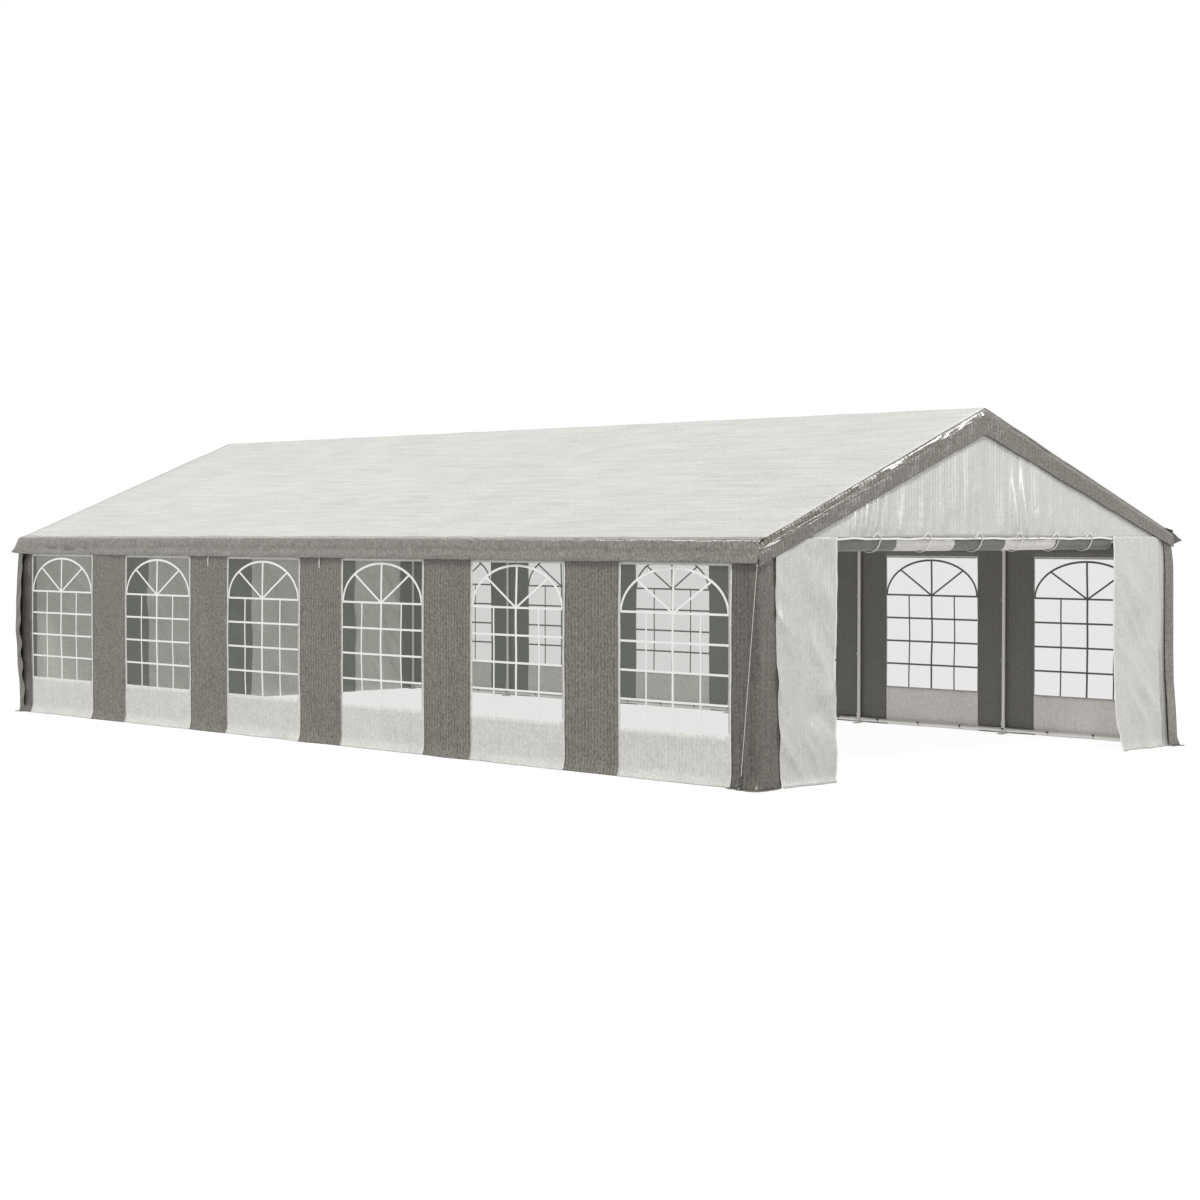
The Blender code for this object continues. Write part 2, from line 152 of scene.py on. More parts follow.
# Materials
class Nodes:
    """A material under construction, with short calls for the nodes that are used most."""

    def __init__(self, name):
        self.material = bpy.data.materials.new(name)
        self.material.use_nodes = True
        self.tree = self.material.node_tree
        self.place = self.add("ShaderNodeTexCoord").outputs["Object"]
        self.axis = dict(zip("xyz", self.add("ShaderNodeSeparateXYZ", {0: self.place}).outputs))

    def put(self, node, inputs):
        """Give a node its inputs, each an output to link, a number, or a colour or vector."""
        for key, value in inputs.items():
            socket = node.inputs[key]
            if isinstance(value, bpy.types.NodeSocket):
                self.tree.links.new(value, socket)
            elif socket.type == "RGBA":
                socket.default_value = (*value, 1.0)
            else:
                socket.default_value = value

    def add(self, kind, inputs=None, **settings):
        """A new node with its settings and inputs."""
        node = self.tree.nodes.new(kind)
        for key, value in settings.items():
            setattr(node, key, value)
        self.put(node, inputs or {})
        return node

    def math(self, operation, first, second=0.0):
        """A sum, product or the like."""
        return self.add("ShaderNodeMath", {0: first, 1: second}, operation=operation).outputs[0]

    def noise(self, scale, detail=2.0, stretch=(1, 1, 1)):
        """Noise between 0 and 1, with scale in features per metre, stretched per axis."""
        mapping = self.add("ShaderNodeMapping", {"Scale": stretch, "Vector": self.place})
        inputs = {"Scale": scale, "Detail": detail, "Vector": mapping.outputs[0]}
        return self.add("ShaderNodeTexNoise", inputs).outputs["Fac"]

    def wave(self, axis, period):
        """A sine between -1 and 1 along an axis."""
        return self.math("SINE", self.math("MULTIPLY", self.axis[axis], 2 * pi / period))

    def between(self, value, low_out, high_out, low_in=0.0, high_in=1.0):
        """Map a range onto another."""
        return self.add("ShaderNodeMapRange", {
            "Value": value, "From Min": low_in, "From Max": high_in,
            "To Min": low_out, "To Max": high_out}).outputs[0]

    def tint(self, colour, brightness):
        """The colour made lighter and darker by a value around 1."""
        grey = self.add("ShaderNodeCombineColor", {channel: brightness for channel in range(3)})
        return self.add("ShaderNodeMix", {"Factor": 1.0, "A": colour, "B": grey.outputs[0]},
                        data_type="RGBA", blend_type="MULTIPLY").outputs["Result"]

    def bump(self, height, distance, strength=1.0, under=None):
        """A Bump node over another one."""
        inputs = {"Height": height, "Distance": distance, "Strength": strength}
        if under:
            inputs["Normal"] = under
        return self.add("ShaderNodeBump", inputs).outputs["Normal"]

    def finish(self, colour, roughness, **others):
        """Give the shader its inputs. An underscore stands for a space in the names of the others."""
        inputs = {"Base Color": colour, "Roughness": roughness}
        inputs.update({key.replace("_", " "): value for key, value in others.items()})
        self.put(self.tree.nodes["Principled BSDF"], inputs)
        return self.material


TAPE = 0.0032           # from one thread of the weave to the next


def woven(name, colour, across, along, rib=0.042, contrast=0.035, shine=0.42, gloss=0.35,
          crease=0.004, crumple=0.003, speck=0.10, lines=0.0, coat=0.0):
    """Coated woven sheet. Ribs follow one another across an axis, and creases run along the other."""
    nodes = Nodes(name)
    if isinstance(colour[0], tuple):
        colour = stripes(nodes, *colour)
    ribs = nodes.wave(across, rib)
    tape = nodes.math("MULTIPLY", nodes.wave(across, TAPE), nodes.wave(along, TAPE))
    stretch = {axis: 1.0 for axis in "xyz"}
    stretch[along] = 0.25
    streaks = nodes.noise(6.0, 1.5, tuple(stretch[axis] for axis in "xyz"))
    stretch[along] = 0.05
    fine = nodes.noise(26.0, 2.0, tuple(stretch[axis] for axis in "xyz"))
    crumples = nodes.math("ABSOLUTE", nodes.math("SUBTRACT", nodes.noise(4.5, 1.5), 0.5))
    mottle = nodes.noise(1.6, 1.0)
    grain = nodes.noise(42.0, 3.0)
    bright = nodes.math("ADD", nodes.between(ribs, 1 - contrast, 1 + contrast, -0.2, 1.0),
                        nodes.between(streaks, -0.02, 0.02, 0.3, 0.7))
    for value, spread in ((mottle, 0.025), (grain, speck), (fine, lines)):
        if spread:
            bright = nodes.math("ADD", bright, nodes.between(value, -spread, spread, 0.3, 0.7))
    rough = nodes.between(nodes.noise(14.0, 2.0), shine - 0.08, shine + 0.10)
    normal = nodes.bump(tape, 0.0001, 0.5)
    normal = nodes.bump(ribs, 0.0008, 0.7, normal)
    normal = nodes.bump(fine, 0.002 + lines * 0.04, 0.5, normal)
    normal = nodes.bump(streaks, crease * 4, 0.8, normal)
    normal = nodes.bump(crumples, crumple * 6, 0.8, normal)
    return nodes.finish(nodes.tint(colour, bright), rough, Normal=normal, Specular_IOR_Level=gloss,
                        Coat_Weight=coat, Coat_Roughness=0.16)


def plain(name, colour, roughness, metallic=0.0, grain=120.0, spread=0.05, depth=0.0002):
    """A solid finish with slight unevenness of colour, gloss and surface."""
    nodes = Nodes(name)
    speck = nodes.noise(grain, 3.0)
    bright = nodes.between(speck, 1 - spread, 1 + spread)
    rough = nodes.between(nodes.noise(grain / 4, 2.0), roughness - 0.06, roughness + 0.08)
    return nodes.finish(nodes.tint(colour, bright), rough, Normal=nodes.bump(speck, depth, 0.5),
                        Metallic=metallic)


WHITE = (0.415, 0.410, 0.388)
GABLE_WHITE = (0.325, 0.3215, 0.305)
ROOF_WHITE = (0.372, 0.368, 0.350)
GREY = (0.122, 0.1140, 0.0995)
VALANCE_GREY = (0.130, 0.121, 0.106)
# a darker copy of the strips' grey for the left wall's corner strips: painted shade at the corners
CORNER_PAINTED_SHADE = (0.078, 0.0725, 0.0635)
RAKE_GREY = (0.091, 0.0830, 0.0715)
# inner faces of the white cloth, lighter than its outer faces: painted light that stands in for light coming
# through the cloth into the tent
INNER_PAINTED_LIGHT_WHITE = (0.580, 0.555, 0.535)
# the back gable's inner face: a dimmer, greener copy of the inner white, with less painted light at the back
# of the tent
BACK_PAINTED_LIGHT_WHITE = (0.490, 0.495, 0.455)
INNER_GREY = (0.120, 0.118, 0.106)

roof_outside = woven("roof_outside", ROOF_WHITE, "x", "y", contrast=0.010, crease=0.003, crumple=0.002,
                     speck=0.10, lines=0.08)
# the inner faces wear the lighter inner white: painted light inside the tent
roof_inside = woven("roof_inside", INNER_PAINTED_LIGHT_WHITE, "x", "y", contrast=0.012)
side_white = woven("side_white", WHITE, "y", "z", contrast=0.03, crease=0.005, speck=0.12)
side_white_inside = woven("side_white_inside", INNER_PAINTED_LIGHT_WHITE, "y", "z", contrast=0.02)
side_grey = woven("side_grey", GREY, "y", "z", contrast=0.15, speck=0.40, lines=0.08)
# painted shade: the strips' grey made darker for the corner strips
corner_painted_shade = woven("corner_painted_shade", CORNER_PAINTED_SHADE, "y", "z", contrast=0.10, speck=0.38, lines=0.16, shine=0.34)
side_grey_inside = woven("side_grey_inside", INNER_GREY, "y", "z", contrast=0.06)
flap_grey = woven("flap_grey", GREY, "y", "z", contrast=0.05, speck=0.20)
valance_grey = woven("valance_grey", VALANCE_GREY, "y", "x", contrast=0.06, shine=0.24, gloss=0.5,
                     crease=0.004, crumple=0.005, speck=0.38, lines=0.08, coat=0.45)
gable_white = woven("gable_white", GABLE_WHITE, "x", "z", contrast=0.03, shine=0.30, gloss=0.5,
                    crease=0.003, crumple=0.002, speck=0.09, lines=0.025, coat=0.35)
gable_white_inside = woven("gable_white_inside", INNER_PAINTED_LIGHT_WHITE, "x", "z", contrast=0.02)
back_white_inside = woven("back_white_inside", BACK_PAINTED_LIGHT_WHITE, "x", "z", contrast=0.02)
gable_grey = woven("gable_grey", RAKE_GREY, "x", "z", contrast=0.12, shine=0.24, gloss=0.4,
                   crease=0.003, crumple=0.004, speck=0.42, coat=0.5)
gable_grey_inside = woven("gable_grey_inside", INNER_GREY, "x", "z", contrast=0.06)
bar_white = plain("bar_white", (0.56, 0.56, 0.55), 0.40)
bar_dark = plain("bar_dark", (0.090, 0.090, 0.088), 0.45)
steel_white = plain("steel_white", (0.62, 0.61, 0.58), 0.32, 0.25, 60.0, 0.06)
steel_bare = plain("steel_bare", (0.40, 0.40, 0.40), 0.38, 0.9, 200.0, 0.10)
webbing = plain("webbing", (0.56, 0.55, 0.53), 0.70, 0.0, 500.0, 0.08, 0.0006)
rope_white = plain("rope_white", (0.45, 0.44, 0.42), 0.75, 0.0, 400.0, 0.10, 0.0008)
rubber_black = plain("rubber_black", (0.02, 0.02, 0.02), 0.55, 0.0, 90.0, 0.20)
hem_white = plain("hem_white", (0.445, 0.440, 0.420), 0.55, 0.0, 300.0, 0.05, 0.0005)


def film_material():
    """Clear soft film, a little grey and rippled."""
    nodes = Nodes("clear_film")
    swell = nodes.noise(5.0, 2.0, (1, 1, 0.5))
    colour = nodes.tint((0.145, 0.168, 0.138), nodes.between(nodes.noise(30.0, 2.0), 0.96, 1.04))
    rough = nodes.between(swell, 0.06, 0.16)
    return nodes.finish(colour, rough, Normal=nodes.bump(swell, 0.004, 0.5), Alpha=0.27)


clear_film = film_material()


# Building cloth
def placed(name, data):
    """Put a mesh, lamp or camera into the scene as an object."""
    thing = bpy.data.objects.new(name, data)
    bpy.context.scene.collection.objects.link(thing)
    return thing


def shown(name, mesh, *materials):
    """Put a mesh into the scene as a smooth object with its materials."""
    for material in materials:
        mesh.materials.append(material)
    mesh.shade_smooth()
    return placed(name, mesh)


def mesh_of(name, corners, faces):
    """A mesh from its corners and faces."""
    mesh = bpy.data.meshes.new(name)
    mesh.from_pydata(corners, [], faces)
    mesh.update()
    return mesh


def grid_mesh(name, us, vs, place, flip=False, keep=None):
    """A mesh over the grid us by vs. keep says which cells stay, by the middle of the cell."""
    corners, faces, used = [], [], {}

    def corner(i, j):
        if (i, j) not in used:
            used[i, j] = len(corners)
            corners.append(place(us[i], vs[j]))
        return used[i, j]

    for j in range(len(vs) - 1):
        for i in range(len(us) - 1):
            if keep and not keep((us[i] + us[i + 1]) / 2, (vs[j] + vs[j + 1]) / 2):
                continue
            face = [corner(i, j), corner(i + 1, j), corner(i + 1, j + 1), corner(i, j + 1)]
            faces.append(face[::-1] if flip else face)
    return mesh_of(name, corners, faces)


def cloth(name, us, vs, place, outside, inside, flip=False, keep=None, thickness=CLOTH):
    """A sheet of cloth over a grid, with two faces. The inner one wears the second material."""
    piece = shown(name, grid_mesh(name, us, vs, place, flip, keep), outside, inside)
    solid = piece.modifiers.new("thickness", "SOLIDIFY")
    solid.thickness = thickness
    solid.offset = -1.0
    solid.use_even_offset = False
    solid.material_offset = 1
    solid.material_offset_rim = 0
    return piece


def dress(piece, slot, *nodes):
    """Ride the piece on the body and hide the CAD nodes that it stands for. The slot is not used."""
    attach(piece, BODY)
    if nodes:
        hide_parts(*nodes)


def headings(points):
    """Each point with the direction of the line there."""
    for index, point in enumerate(points):
        before, after = points[max(0, index - 1)], points[min(len(points) - 1, index + 1)]
        yield point, (after - before).normalized()


def band_faces(first, count):
    """Faces of a closed flat bar of count sections, each of four corners: two on either face."""
    faces = []
    for c in range(first, first + (count - 1) * 4, 4):
        faces += [[c, c + 4, c + 5, c + 1], [c + 2, c + 3, c + 7, c + 6],
                  [c, c + 2, c + 6, c + 4], [c + 1, c + 5, c + 7, c + 3]]
    last = first + (count - 1) * 4
    return faces + [[first, first + 1, first + 3, first + 2], [last, last + 2, last + 3, last + 1]]


def tubes(name, runs, material, sides=20):
    """Closed tubes as one smooth object, with sharp ends. Each run is (points, radius)."""
    corners, faces = [], []
    for points, radius in runs:
        points = [Vector(point) for point in points]
        first = len(corners)
        frame_x = None
        for point, run in headings(points):
            if frame_x is None:
                frame_x = run.orthogonal().normalized()
            frame_x = (frame_x - run * frame_x.dot(run)).normalized()
            frame_y = run.cross(frame_x)
            for turn in range(sides):
                angle = 2 * pi * turn / sides
                corners.append(point + radius * (cos(angle) * frame_x + sin(angle) * frame_y))
        for ring in range(len(points) - 1):
            for turn in range(sides):
                a = first + ring * sides + turn
                b = first + ring * sides + (turn + 1) % sides
                faces.append([a, b, b + sides, a + sides])
        last = first + (len(points) - 1) * sides
        faces.append([first + turn for turn in range(sides)][::-1])
        faces.append([last + turn for turn in range(sides)])
    return hard_edged(name, mesh_of(name, corners, faces), material)


def hard_edged(name, mesh, material):
    """A smooth object whose steep edges stay sharp."""
    piece = shown(name, mesh, material)
    mesh.set_sharp_from_angle(angle=radians(40))
    return piece


# Camera, fitted to the corners of the object in the photograph
CAMERA_AT = (-17.149, -19.137, 2.133)
CAMERA_YAW = radians(43.269)
CAMERA_PITCH = radians(-1.645)
LENS_MM = 70.34
SENSOR_MM = 36.0
SIGHT = 500.0           # how far the camera sees, past the floor's corners


def camera():
    """The photograph's view."""
    data = bpy.data.cameras.new("camera")
    data.lens = LENS_MM
    data.sensor_width = SENSOR_MM
    data.clip_end = SIGHT
    eye = placed("camera", data)
    eye.location = CAMERA_AT
    eye.rotation_euler = (pi / 2 + CAMERA_PITCH, 0.0, -CAMERA_YAW)
    bpy.context.scene.camera = eye


# Floor and light
FLOOR_HALF = 200.0
FLOOR_Z = -0.0005
FLOOR_GLOW = 0.95       # the floor shines by itself, so that it stays white
HORIZON_TOP = 0.36      # height on the sky, as a sine, up to which it is white
OVERHEAD = 0.62         # and from which it is dim
DIM = (0.42, 0.42, 0.42)


def stage():
    """White floor and white surroundings."""
    material = Nodes("floor").finish((0.06, 0.06, 0.06), 0.9, Emission_Color=(1, 1, 1),
                                     Emission_Strength=FLOOR_GLOW, Specular_IOR_Level=0.0)
    ends = [-FLOOR_HALF, FLOOR_HALF]
    mesh = grid_mesh("floor", ends, ends, lambda x, y: Vector((x, y, FLOOR_Z)))
    shown("floor", mesh, material)
    world = bpy.data.worlds.new("studio")
    bpy.context.scene.world = world
    world.use_nodes = True
    tree = world.node_tree
    place = tree.nodes.new("ShaderNodeTexCoord")
    split = tree.nodes.new("ShaderNodeSeparateXYZ")
    ramp = tree.nodes.new("ShaderNodeValToRGB")
    for stop, position, colour in zip(ramp.color_ramp.elements, (HORIZON_TOP, OVERHEAD), ((1, 1, 1), DIM)):
        stop.position = position
        stop.color = (*colour, 1)
    tree.links.new(place.outputs["Generated"], split.inputs[0])
    tree.links.new(split.outputs[2], ramp.inputs[0])
    tree.links.new(ramp.outputs[0], tree.nodes["Background"].inputs["Color"])
    tree.nodes["Background"].inputs["Strength"].default_value = 1.0
    bpy.context.scene.view_settings.view_transform = "Standard"


def lamp(name, kind, direction, power):
    """A lamp that shines in a direction."""
    data = bpy.data.lights.new(name, kind)
    data.energy = power
    thing = placed(name, data)
    thing.rotation_euler = Vector(direction).to_track_quat("-Z", "Y").to_euler()
    return thing


def softbox(name, at, towards, width, height, power):
    """A rectangular lamp that faces a point."""
    box = lamp(name, "AREA", Vector(towards) - Vector(at), power)
    box.location = at
    box.data.shape = "RECTANGLE"
    box.data.size, box.data.size_y = width, height


# Long side walls
FLARE = 0.040           # the lower hem turns outward on the ground
FLARE_Z = 0.12
HEM_HEIGHTS = spaced([EDGE_Z, FLARE_Z], 0.015)[:-1]


def wall_line(side, run):
    """Point and outward direction on the wall's plan, run metres from its middle, round the corners."""
    end = 1 if run > 0 else -1
    flat = HALF_L - CORNER_R
    turn = CORNER_R * pi / 2
    beyond = abs(run) - flat
    if beyond <= 0:
        return Vector((side * HALF_W, run)), Vector((side, 0))
    if beyond <= turn:
        angle = beyond / CORNER_R
        outward = Vector((side * cos(angle), end * sin(angle)))
        centre = Vector((side * (HALF_W - CORNER_R), end * flat))
        return centre + outward * CORNER_R, outward
    return Vector((side * (HALF_W - CORNER_R - (beyond - turn)), end * HALF_L)), Vector((0, end))


def run_of(across):
    """Distance along the wall's plan for a point of the gable, that far inward from its edge."""
    return HALF_L - CORNER_R + CORNER_R * pi / 2 + across - CORNER_R


def corner_shift(side, run, z):
    """At the front right corner the cloth stands off the leg, further near the ground."""
    if side < 0 or run > 0:
        return 0.0
    near = exp(-(min(0.0, -run - HALF_L) / 0.18) ** 2)
    return near * (0.048 + 0.026 * smooth((WALL_TOP_Z - z) / 0.24) + 0.055 * smooth(1 - z / 0.9))


def wall_bulge(side, run, z):
    """How far the wall stands outward of its plane."""
    free = smooth(from_leg(min(HALF_L, max(-HALF_L, run))))
    drop = 1 - z / WALL_TOP_Z
    seed = 3.0 + side
    belly = 0.012 * free * sin(pi * min(1.0, drop * 1.15))
    folds = 0.5 + 0.5 * ripple(run / 0.33, z / 1.6, seed)
    slant = 0.5 + 0.5 * ripple((run + 0.6 * z) / 0.24, (z - 0.4 * run) / 0.5, seed + 15)
    fine = 0.5 + 0.5 * ripple(run / 0.11, z / 0.9, seed + 7)
    hem = max(0.0, 1 - z / FLARE_Z) ** 2 * FLARE * (0.75 + 0.6 * ripple(run / 0.45, 0.0, seed + 11))
    on_gable = abs(run) > HALF_L
    held = on_gable and not (side > 0 and run < 0)
    if on_gable:
        hem *= 0.3
    lower = smooth((PANEL_TOP_Z - z) / 1.2)
    wave = smooth(drop * 4) * (0.006 * folds + 0.0025 * fine) + 0.009 * lower * slant
    return belly + (0.25 if held else 1.0) * wave + hem


def wall_point(side, run, z, out=0.0):
    """A point of the side wall's outer face."""
    drift = 0.007 * ripple(z / 0.4, round(run / BAY * 2), 5.0) * smooth((PANEL_TOP_Z - z) / 0.5)
    base, outward = wall_line(side, run + drift)
    shift = corner_shift(side, run, z)
    place = base + outward * (wall_bulge(side, run, z) + out) + shift * Vector((side, -0.28))
    lift = 0.008 * (0.5 + 0.5 * ripple(run / 0.6, 1.0, 9.0 + side)) * smooth(1 - z / 0.15)
    if side > 0 and run < -HALF_L:
        lift += 0.075 * smooth((z - WALL_TOP_Z + 0.35) / 0.35)
    return Vector((place.x, place.y, z + lift))


def wall_cloth(side):
    """Grey strips and the band above the windows, in one cloth that turns onto the gables."""
    name = side_name(side)
    panels = [(low(node).y, high(node).y) for node in panel_nodes(side)]
    marks = []
    for start, end in panels:
        marks += [start + LAP, end - LAP]
    front_return = run_of(FREE_RETURN if side > 0 else RETURN_X + BEHIND)
    back_return = run_of(RETURN_X + LAP)
    runs = spaced([-front_return, -HALF_L] + marks + [HALF_L, back_return], STEP)
    heights = HEM_HEIGHTS + spaced([FLARE_Z, PANEL_TOP_Z - LAP, WALL_TOP_Z], STEP * 1.2)

    def keep(run, z):
        return z > PANEL_TOP_Z - LAP or not any(a + LAP < run < b - LAP for a, b in panels)

    piece = cloth(
        name + "_wall", runs, heights, lambda run, z: wall_point(side, run, z, STRIP_IN),
        side_grey, side_grey_inside, flip=side < 0, keep=keep)
    painted_shade_slot = len(piece.data.materials)
    for material in (corner_painted_shade, side_grey_inside):
        piece.data.materials.append(material)
    # the left wall's corner strips and returns, below the band, wear the darker grey: painted shade at the
    # corners
    for face in piece.data.polygons:
        at = face.center
        if side < 0 and abs(at.y) > panels[-1][1] and at.z < PANEL_TOP_Z:
            face.material_index = painted_shade_slot
    dress(piece, "grey_cloth", name + "_wall_cloth")


def panel_nodes(side):
    """Names of the window panels of one side."""
    return [side_name(side) + "_window_panel_" + str(number) for number in range(1, BAYS + 1)]


def window_panel(side, node):
    """White panel with the opening of its window."""
    start, end = low(node).y, high(node).y
    runs = spaced([start, start + PANEL_BORDER, end - PANEL_BORDER, end], STEP)
    heights = HEM_HEIGHTS + spaced([FLARE_Z, FILM_LOW_Z, FILM_TOP_Z, PANEL_TOP_Z], STEP)

    def keep(run, z):
        inside = start + PANEL_BORDER < run < end - PANEL_BORDER
        return not (inside and FILM_LOW_Z < z < FILM_TOP_Z)

    piece = cloth(
        node + "_cloth", runs, heights, lambda run, z: wall_point(side, run, z, PANEL_OUT),
        side_white, side_white_inside, flip=side < 0, keep=keep)
    dress(piece, "white_cloth", node)
    side_name(side) + "_eave_bar"


# Windows
BAR = 0.0195            # width of a printed bar
BAR_THICK = 0.0022
BAR_STEP = 0.06
FILM_IN = -0.0022       # from the wall's face to the film
ROWS = 4                # of panes under the transom
RAY = radians(46)       # slope of the two rays in the arch


def straight(start, end):
    """Points from one place to another, close enough to follow the wall's folds."""
    start, end = Vector(start), Vector(end)
    return [start + (end - start) * share for share in spaced([0.0, 1.0], BAR_STEP / (end - start).length)]


def window_lines(start, end):
    """Bars of one window as (points across and up, width, thickness)."""
    centre, half = (start + end) / 2, (end - start) / 2
    rise, reach = ARCH_TOP_Z - TRANSOM_Z, half - BAR * 0.2
    lines = []
    for row in range(ROWS):
        z = TRANSOM_Z + (FILM_LOW_Z - TRANSOM_Z) * row / ROWS
        lines.append((straight((start, z), (end, z)), BAR, BAR_THICK))
    for y in (centre - half / 2, centre + half / 2):
        lines.append((straight((y, FILM_LOW_Z), (y, TRANSOM_Z)), BAR * 0.85, BAR_THICK * 1.2))
    lines.append((straight((centre, FILM_LOW_Z), (centre, ARCH_TOP_Z)), BAR * 1.2, BAR_THICK * 1.2))
    arch = [Vector((centre + reach * cos(radians(angle)), TRANSOM_Z + rise * sin(radians(angle))))
            for angle in range(0, 181, 5)]
    lines.append((arch, BAR * 1.1, BAR_THICK * 1.4))
    for angle in (RAY, pi - RAY):
        tip = (centre + reach * cos(angle), TRANSOM_Z + rise * sin(angle))
        lines.append((straight((centre, TRANSOM_Z), tip), BAR, BAR_THICK * 0.8))
    return lines


def window(side, node):
    """Clear film with its printed bars, white outside and dark inside."""
    start, end = low(node).y + PANEL_BORDER, high(node).y - PANEL_BORDER
    reach = PANEL_BORDER / 2
    runs = spaced([start - reach, end + reach], BAR_STEP)
    heights = spaced([FILM_LOW_Z - reach, FILM_TOP_Z + reach], BAR_STEP)
    mesh = grid_mesh(node + "_film", runs, heights,
                     lambda run, z: wall_point(side, run, z, FILM_IN), flip=side < 0)
    film = shown(node.replace("panel", "film"), mesh, clear_film)
    corners, faces = [], []
    for points, width, thick in window_lines(start, end):
        faces += band_faces(len(corners), len(points))
        for point, run in headings(points):
            normal = Vector((-run.y, run.x)) * width / 2
            for out in (thick / 2, -thick / 2):
                for y, z in (point + normal, point - normal):
                    corners.append(wall_point(side, y, z, FILM_IN + out))
    if side > 0:
        faces = [face[::-1] for face in faces]
    mesh = mesh_of(node + "_bars", corners, faces)
    bars = shown(node.replace("panel", "bars"), mesh, bar_white, bar_dark)
    for face in mesh.polygons:
        face.use_smooth = False
        if face.normal.x * side < -0.5:
            face.material_index = 1
    whole = side_name(side) + "_window_film"
    dress(film, "clear_film", whole)
    dress(bars, "white_cloth", whole)


# Roof
def roof_z(x):
    """Top of the cover, with the ridge a little rounded."""
    return APEX_Z + 0.0035 - SLOPE * sqrt(x * x + 0.008 ** 2)


def roof_sag(x, y):
    """The cover sinks a little between the portals, the ridge bar, the purlins and the eave bars."""
    free = smooth(from_leg(y)) * abs(sin(pi * x / PURLIN_AXIS.x))
    uneven = 0.8 + 0.5 * ripple(x / 1.1, y / 1.3, 21.0)
    return 0.020 * free * uneven + 0.0015 * (1 + ripple(x / 0.35, y / 0.5, 23.0)) * smooth(abs(x) / 0.2)


def corner_lift(x, y):
    """The wind has lifted the cloth along the front right edge, most of all at the corner."""
    return 0.088 * max(0.0, x / HALF_W) * exp(-((y + HALF_L) / 0.60) ** 2)


def roof_edge(x):
    """Slow waves of the cover's edge over each gable."""
    return 0.006 * ripple(x / 0.45, 0.0, 25.0)


def roof():
    """White cover over both slopes."""
    end_y = HALF_L + 0.014

    def place(x, y):
        edge = roof_edge(x) * smooth((abs(y) - HALF_L + 0.3) / 0.3)
        ridge = 0.004 * ripple(y / 0.5, 0.0, 27.0) * exp(-(x / 0.15) ** 2)
        z = roof_z(x) - roof_sag(x, y) + edge + ridge + corner_lift(x, y)
        return Vector((x, y, z - 0.10 * max(0.0, abs(y) - HALF_L)))

    reach = SEAM_X + LAP
    xs = spaced([-reach, 0.0, reach], 0.060)
    ys = spaced([-end_y, end_y], 0.085)
    piece = cloth("roof_cloth", xs, ys, place, roof_outside, roof_inside)
    dress(piece, "white_cloth", "roof_cover")


# Grey eave valances: flat on the roof from their seam, round the eave bar, then down
EAVE_R = 0.038
EAVE_START_X = SEAM_X - 0.010
EAVE_FLAT = (EAVE_AXIS.x - SEAM_X) / cos(PITCH) + EAVE_R * sin(PITCH) + 0.010
EAVE_TURN = pi / 2 - PITCH
EAVE_BEND = EAVE_R * EAVE_TURN
EAVE_DROP = EAVE_AXIS.z - VALANCE_LOW_Z
LIFTS = {(-1, -1): 0.0, (-1, 1): 34.0, (1, -1): 58.0, (1, 1): 30.0}     # degrees, by side and end
HEM = 0.026


def skirt_tilt(side, y):
    """Angle at which the valance stands out from the wall: it lifts at three of the corners."""
    tilt = 3.5 - 7.0 * smooth((y + 2.0) / 7.0) + 3.0 * ripple(y / 0.7, 0.0, 31.0 + side)
    for end in (-1, 1):
        gap = abs(end * (HALF_L + 0.03) - y)
        tilt += LIFTS[side, end] * exp(-(gap / 0.19) ** 1.5)
    return radians(tilt)


def valance_point(side, y, along):
    """A point of the valance's outer face, along metres from its seam on the roof."""
    seam_shift = 0.020 * ripple(y / 0.55, 2.0, 33.0 + side)
    puff = 0.013 * (0.5 + 0.5 * ripple(y / 0.62, 4.0, 37.0 + side)) + 0.003 * ripple(y / 0.14, 2.0, 38.0)
    lift = corner_lift(side * EAVE_AXIS.x, y) if side > 0 else 0.0
    if along <= EAVE_FLAT:
        share = along / EAVE_FLAT
        x = EAVE_START_X + seam_shift * (1 - share) + along * cos(PITCH)
        z = roof_z(x) + 0.0015 - roof_sag(x, y) * 0.5 + puff * share
        return Vector((side * x, y, z + corner_lift(side * x, y)))
    centre_x = EAVE_START_X + EAVE_FLAT * cos(PITCH) - EAVE_R * sin(PITCH)
    centre_z = roof_z(centre_x + EAVE_R * sin(PITCH)) + 0.0015 - EAVE_R * cos(PITCH) + puff + lift
    angle = EAVE_TURN * (1 - min(1.0, (along - EAVE_FLAT) / EAVE_BEND))
    crinkle = 0.004 * ripple(y / 0.13, along / 0.05, 36.0 + side)
    x = centre_x + (EAVE_R + crinkle) * cos(angle)
    z = centre_z + (EAVE_R + crinkle) * sin(angle)
    down = along - EAVE_FLAT - EAVE_BEND
    if down > 0:
        tilt = skirt_tilt(side, y)
        share = down / 0.17
        wave = 0.005 * ripple(y / 0.26, along / 0.2, 35.0 + side)
        turns = 1.35 * share + 0.35 * ripple(y / 1.1, 1.0, 39.0) + 0.1
        crease = 0.008 * sin(2 * pi * turns) * (0.7 + 0.5 * ripple(y / 0.5, 5.0, 40.0))
        crease += 0.0035 * ripple(y / 0.9, share / 0.20, 42.0 + side)
        x += down * sin(tilt) + (wave + crease) * min(1.0, share * 3) + 0.006 * share
        z -= down * cos(tilt)
    return Vector((side * (x + 0.45 * lift), y, z))


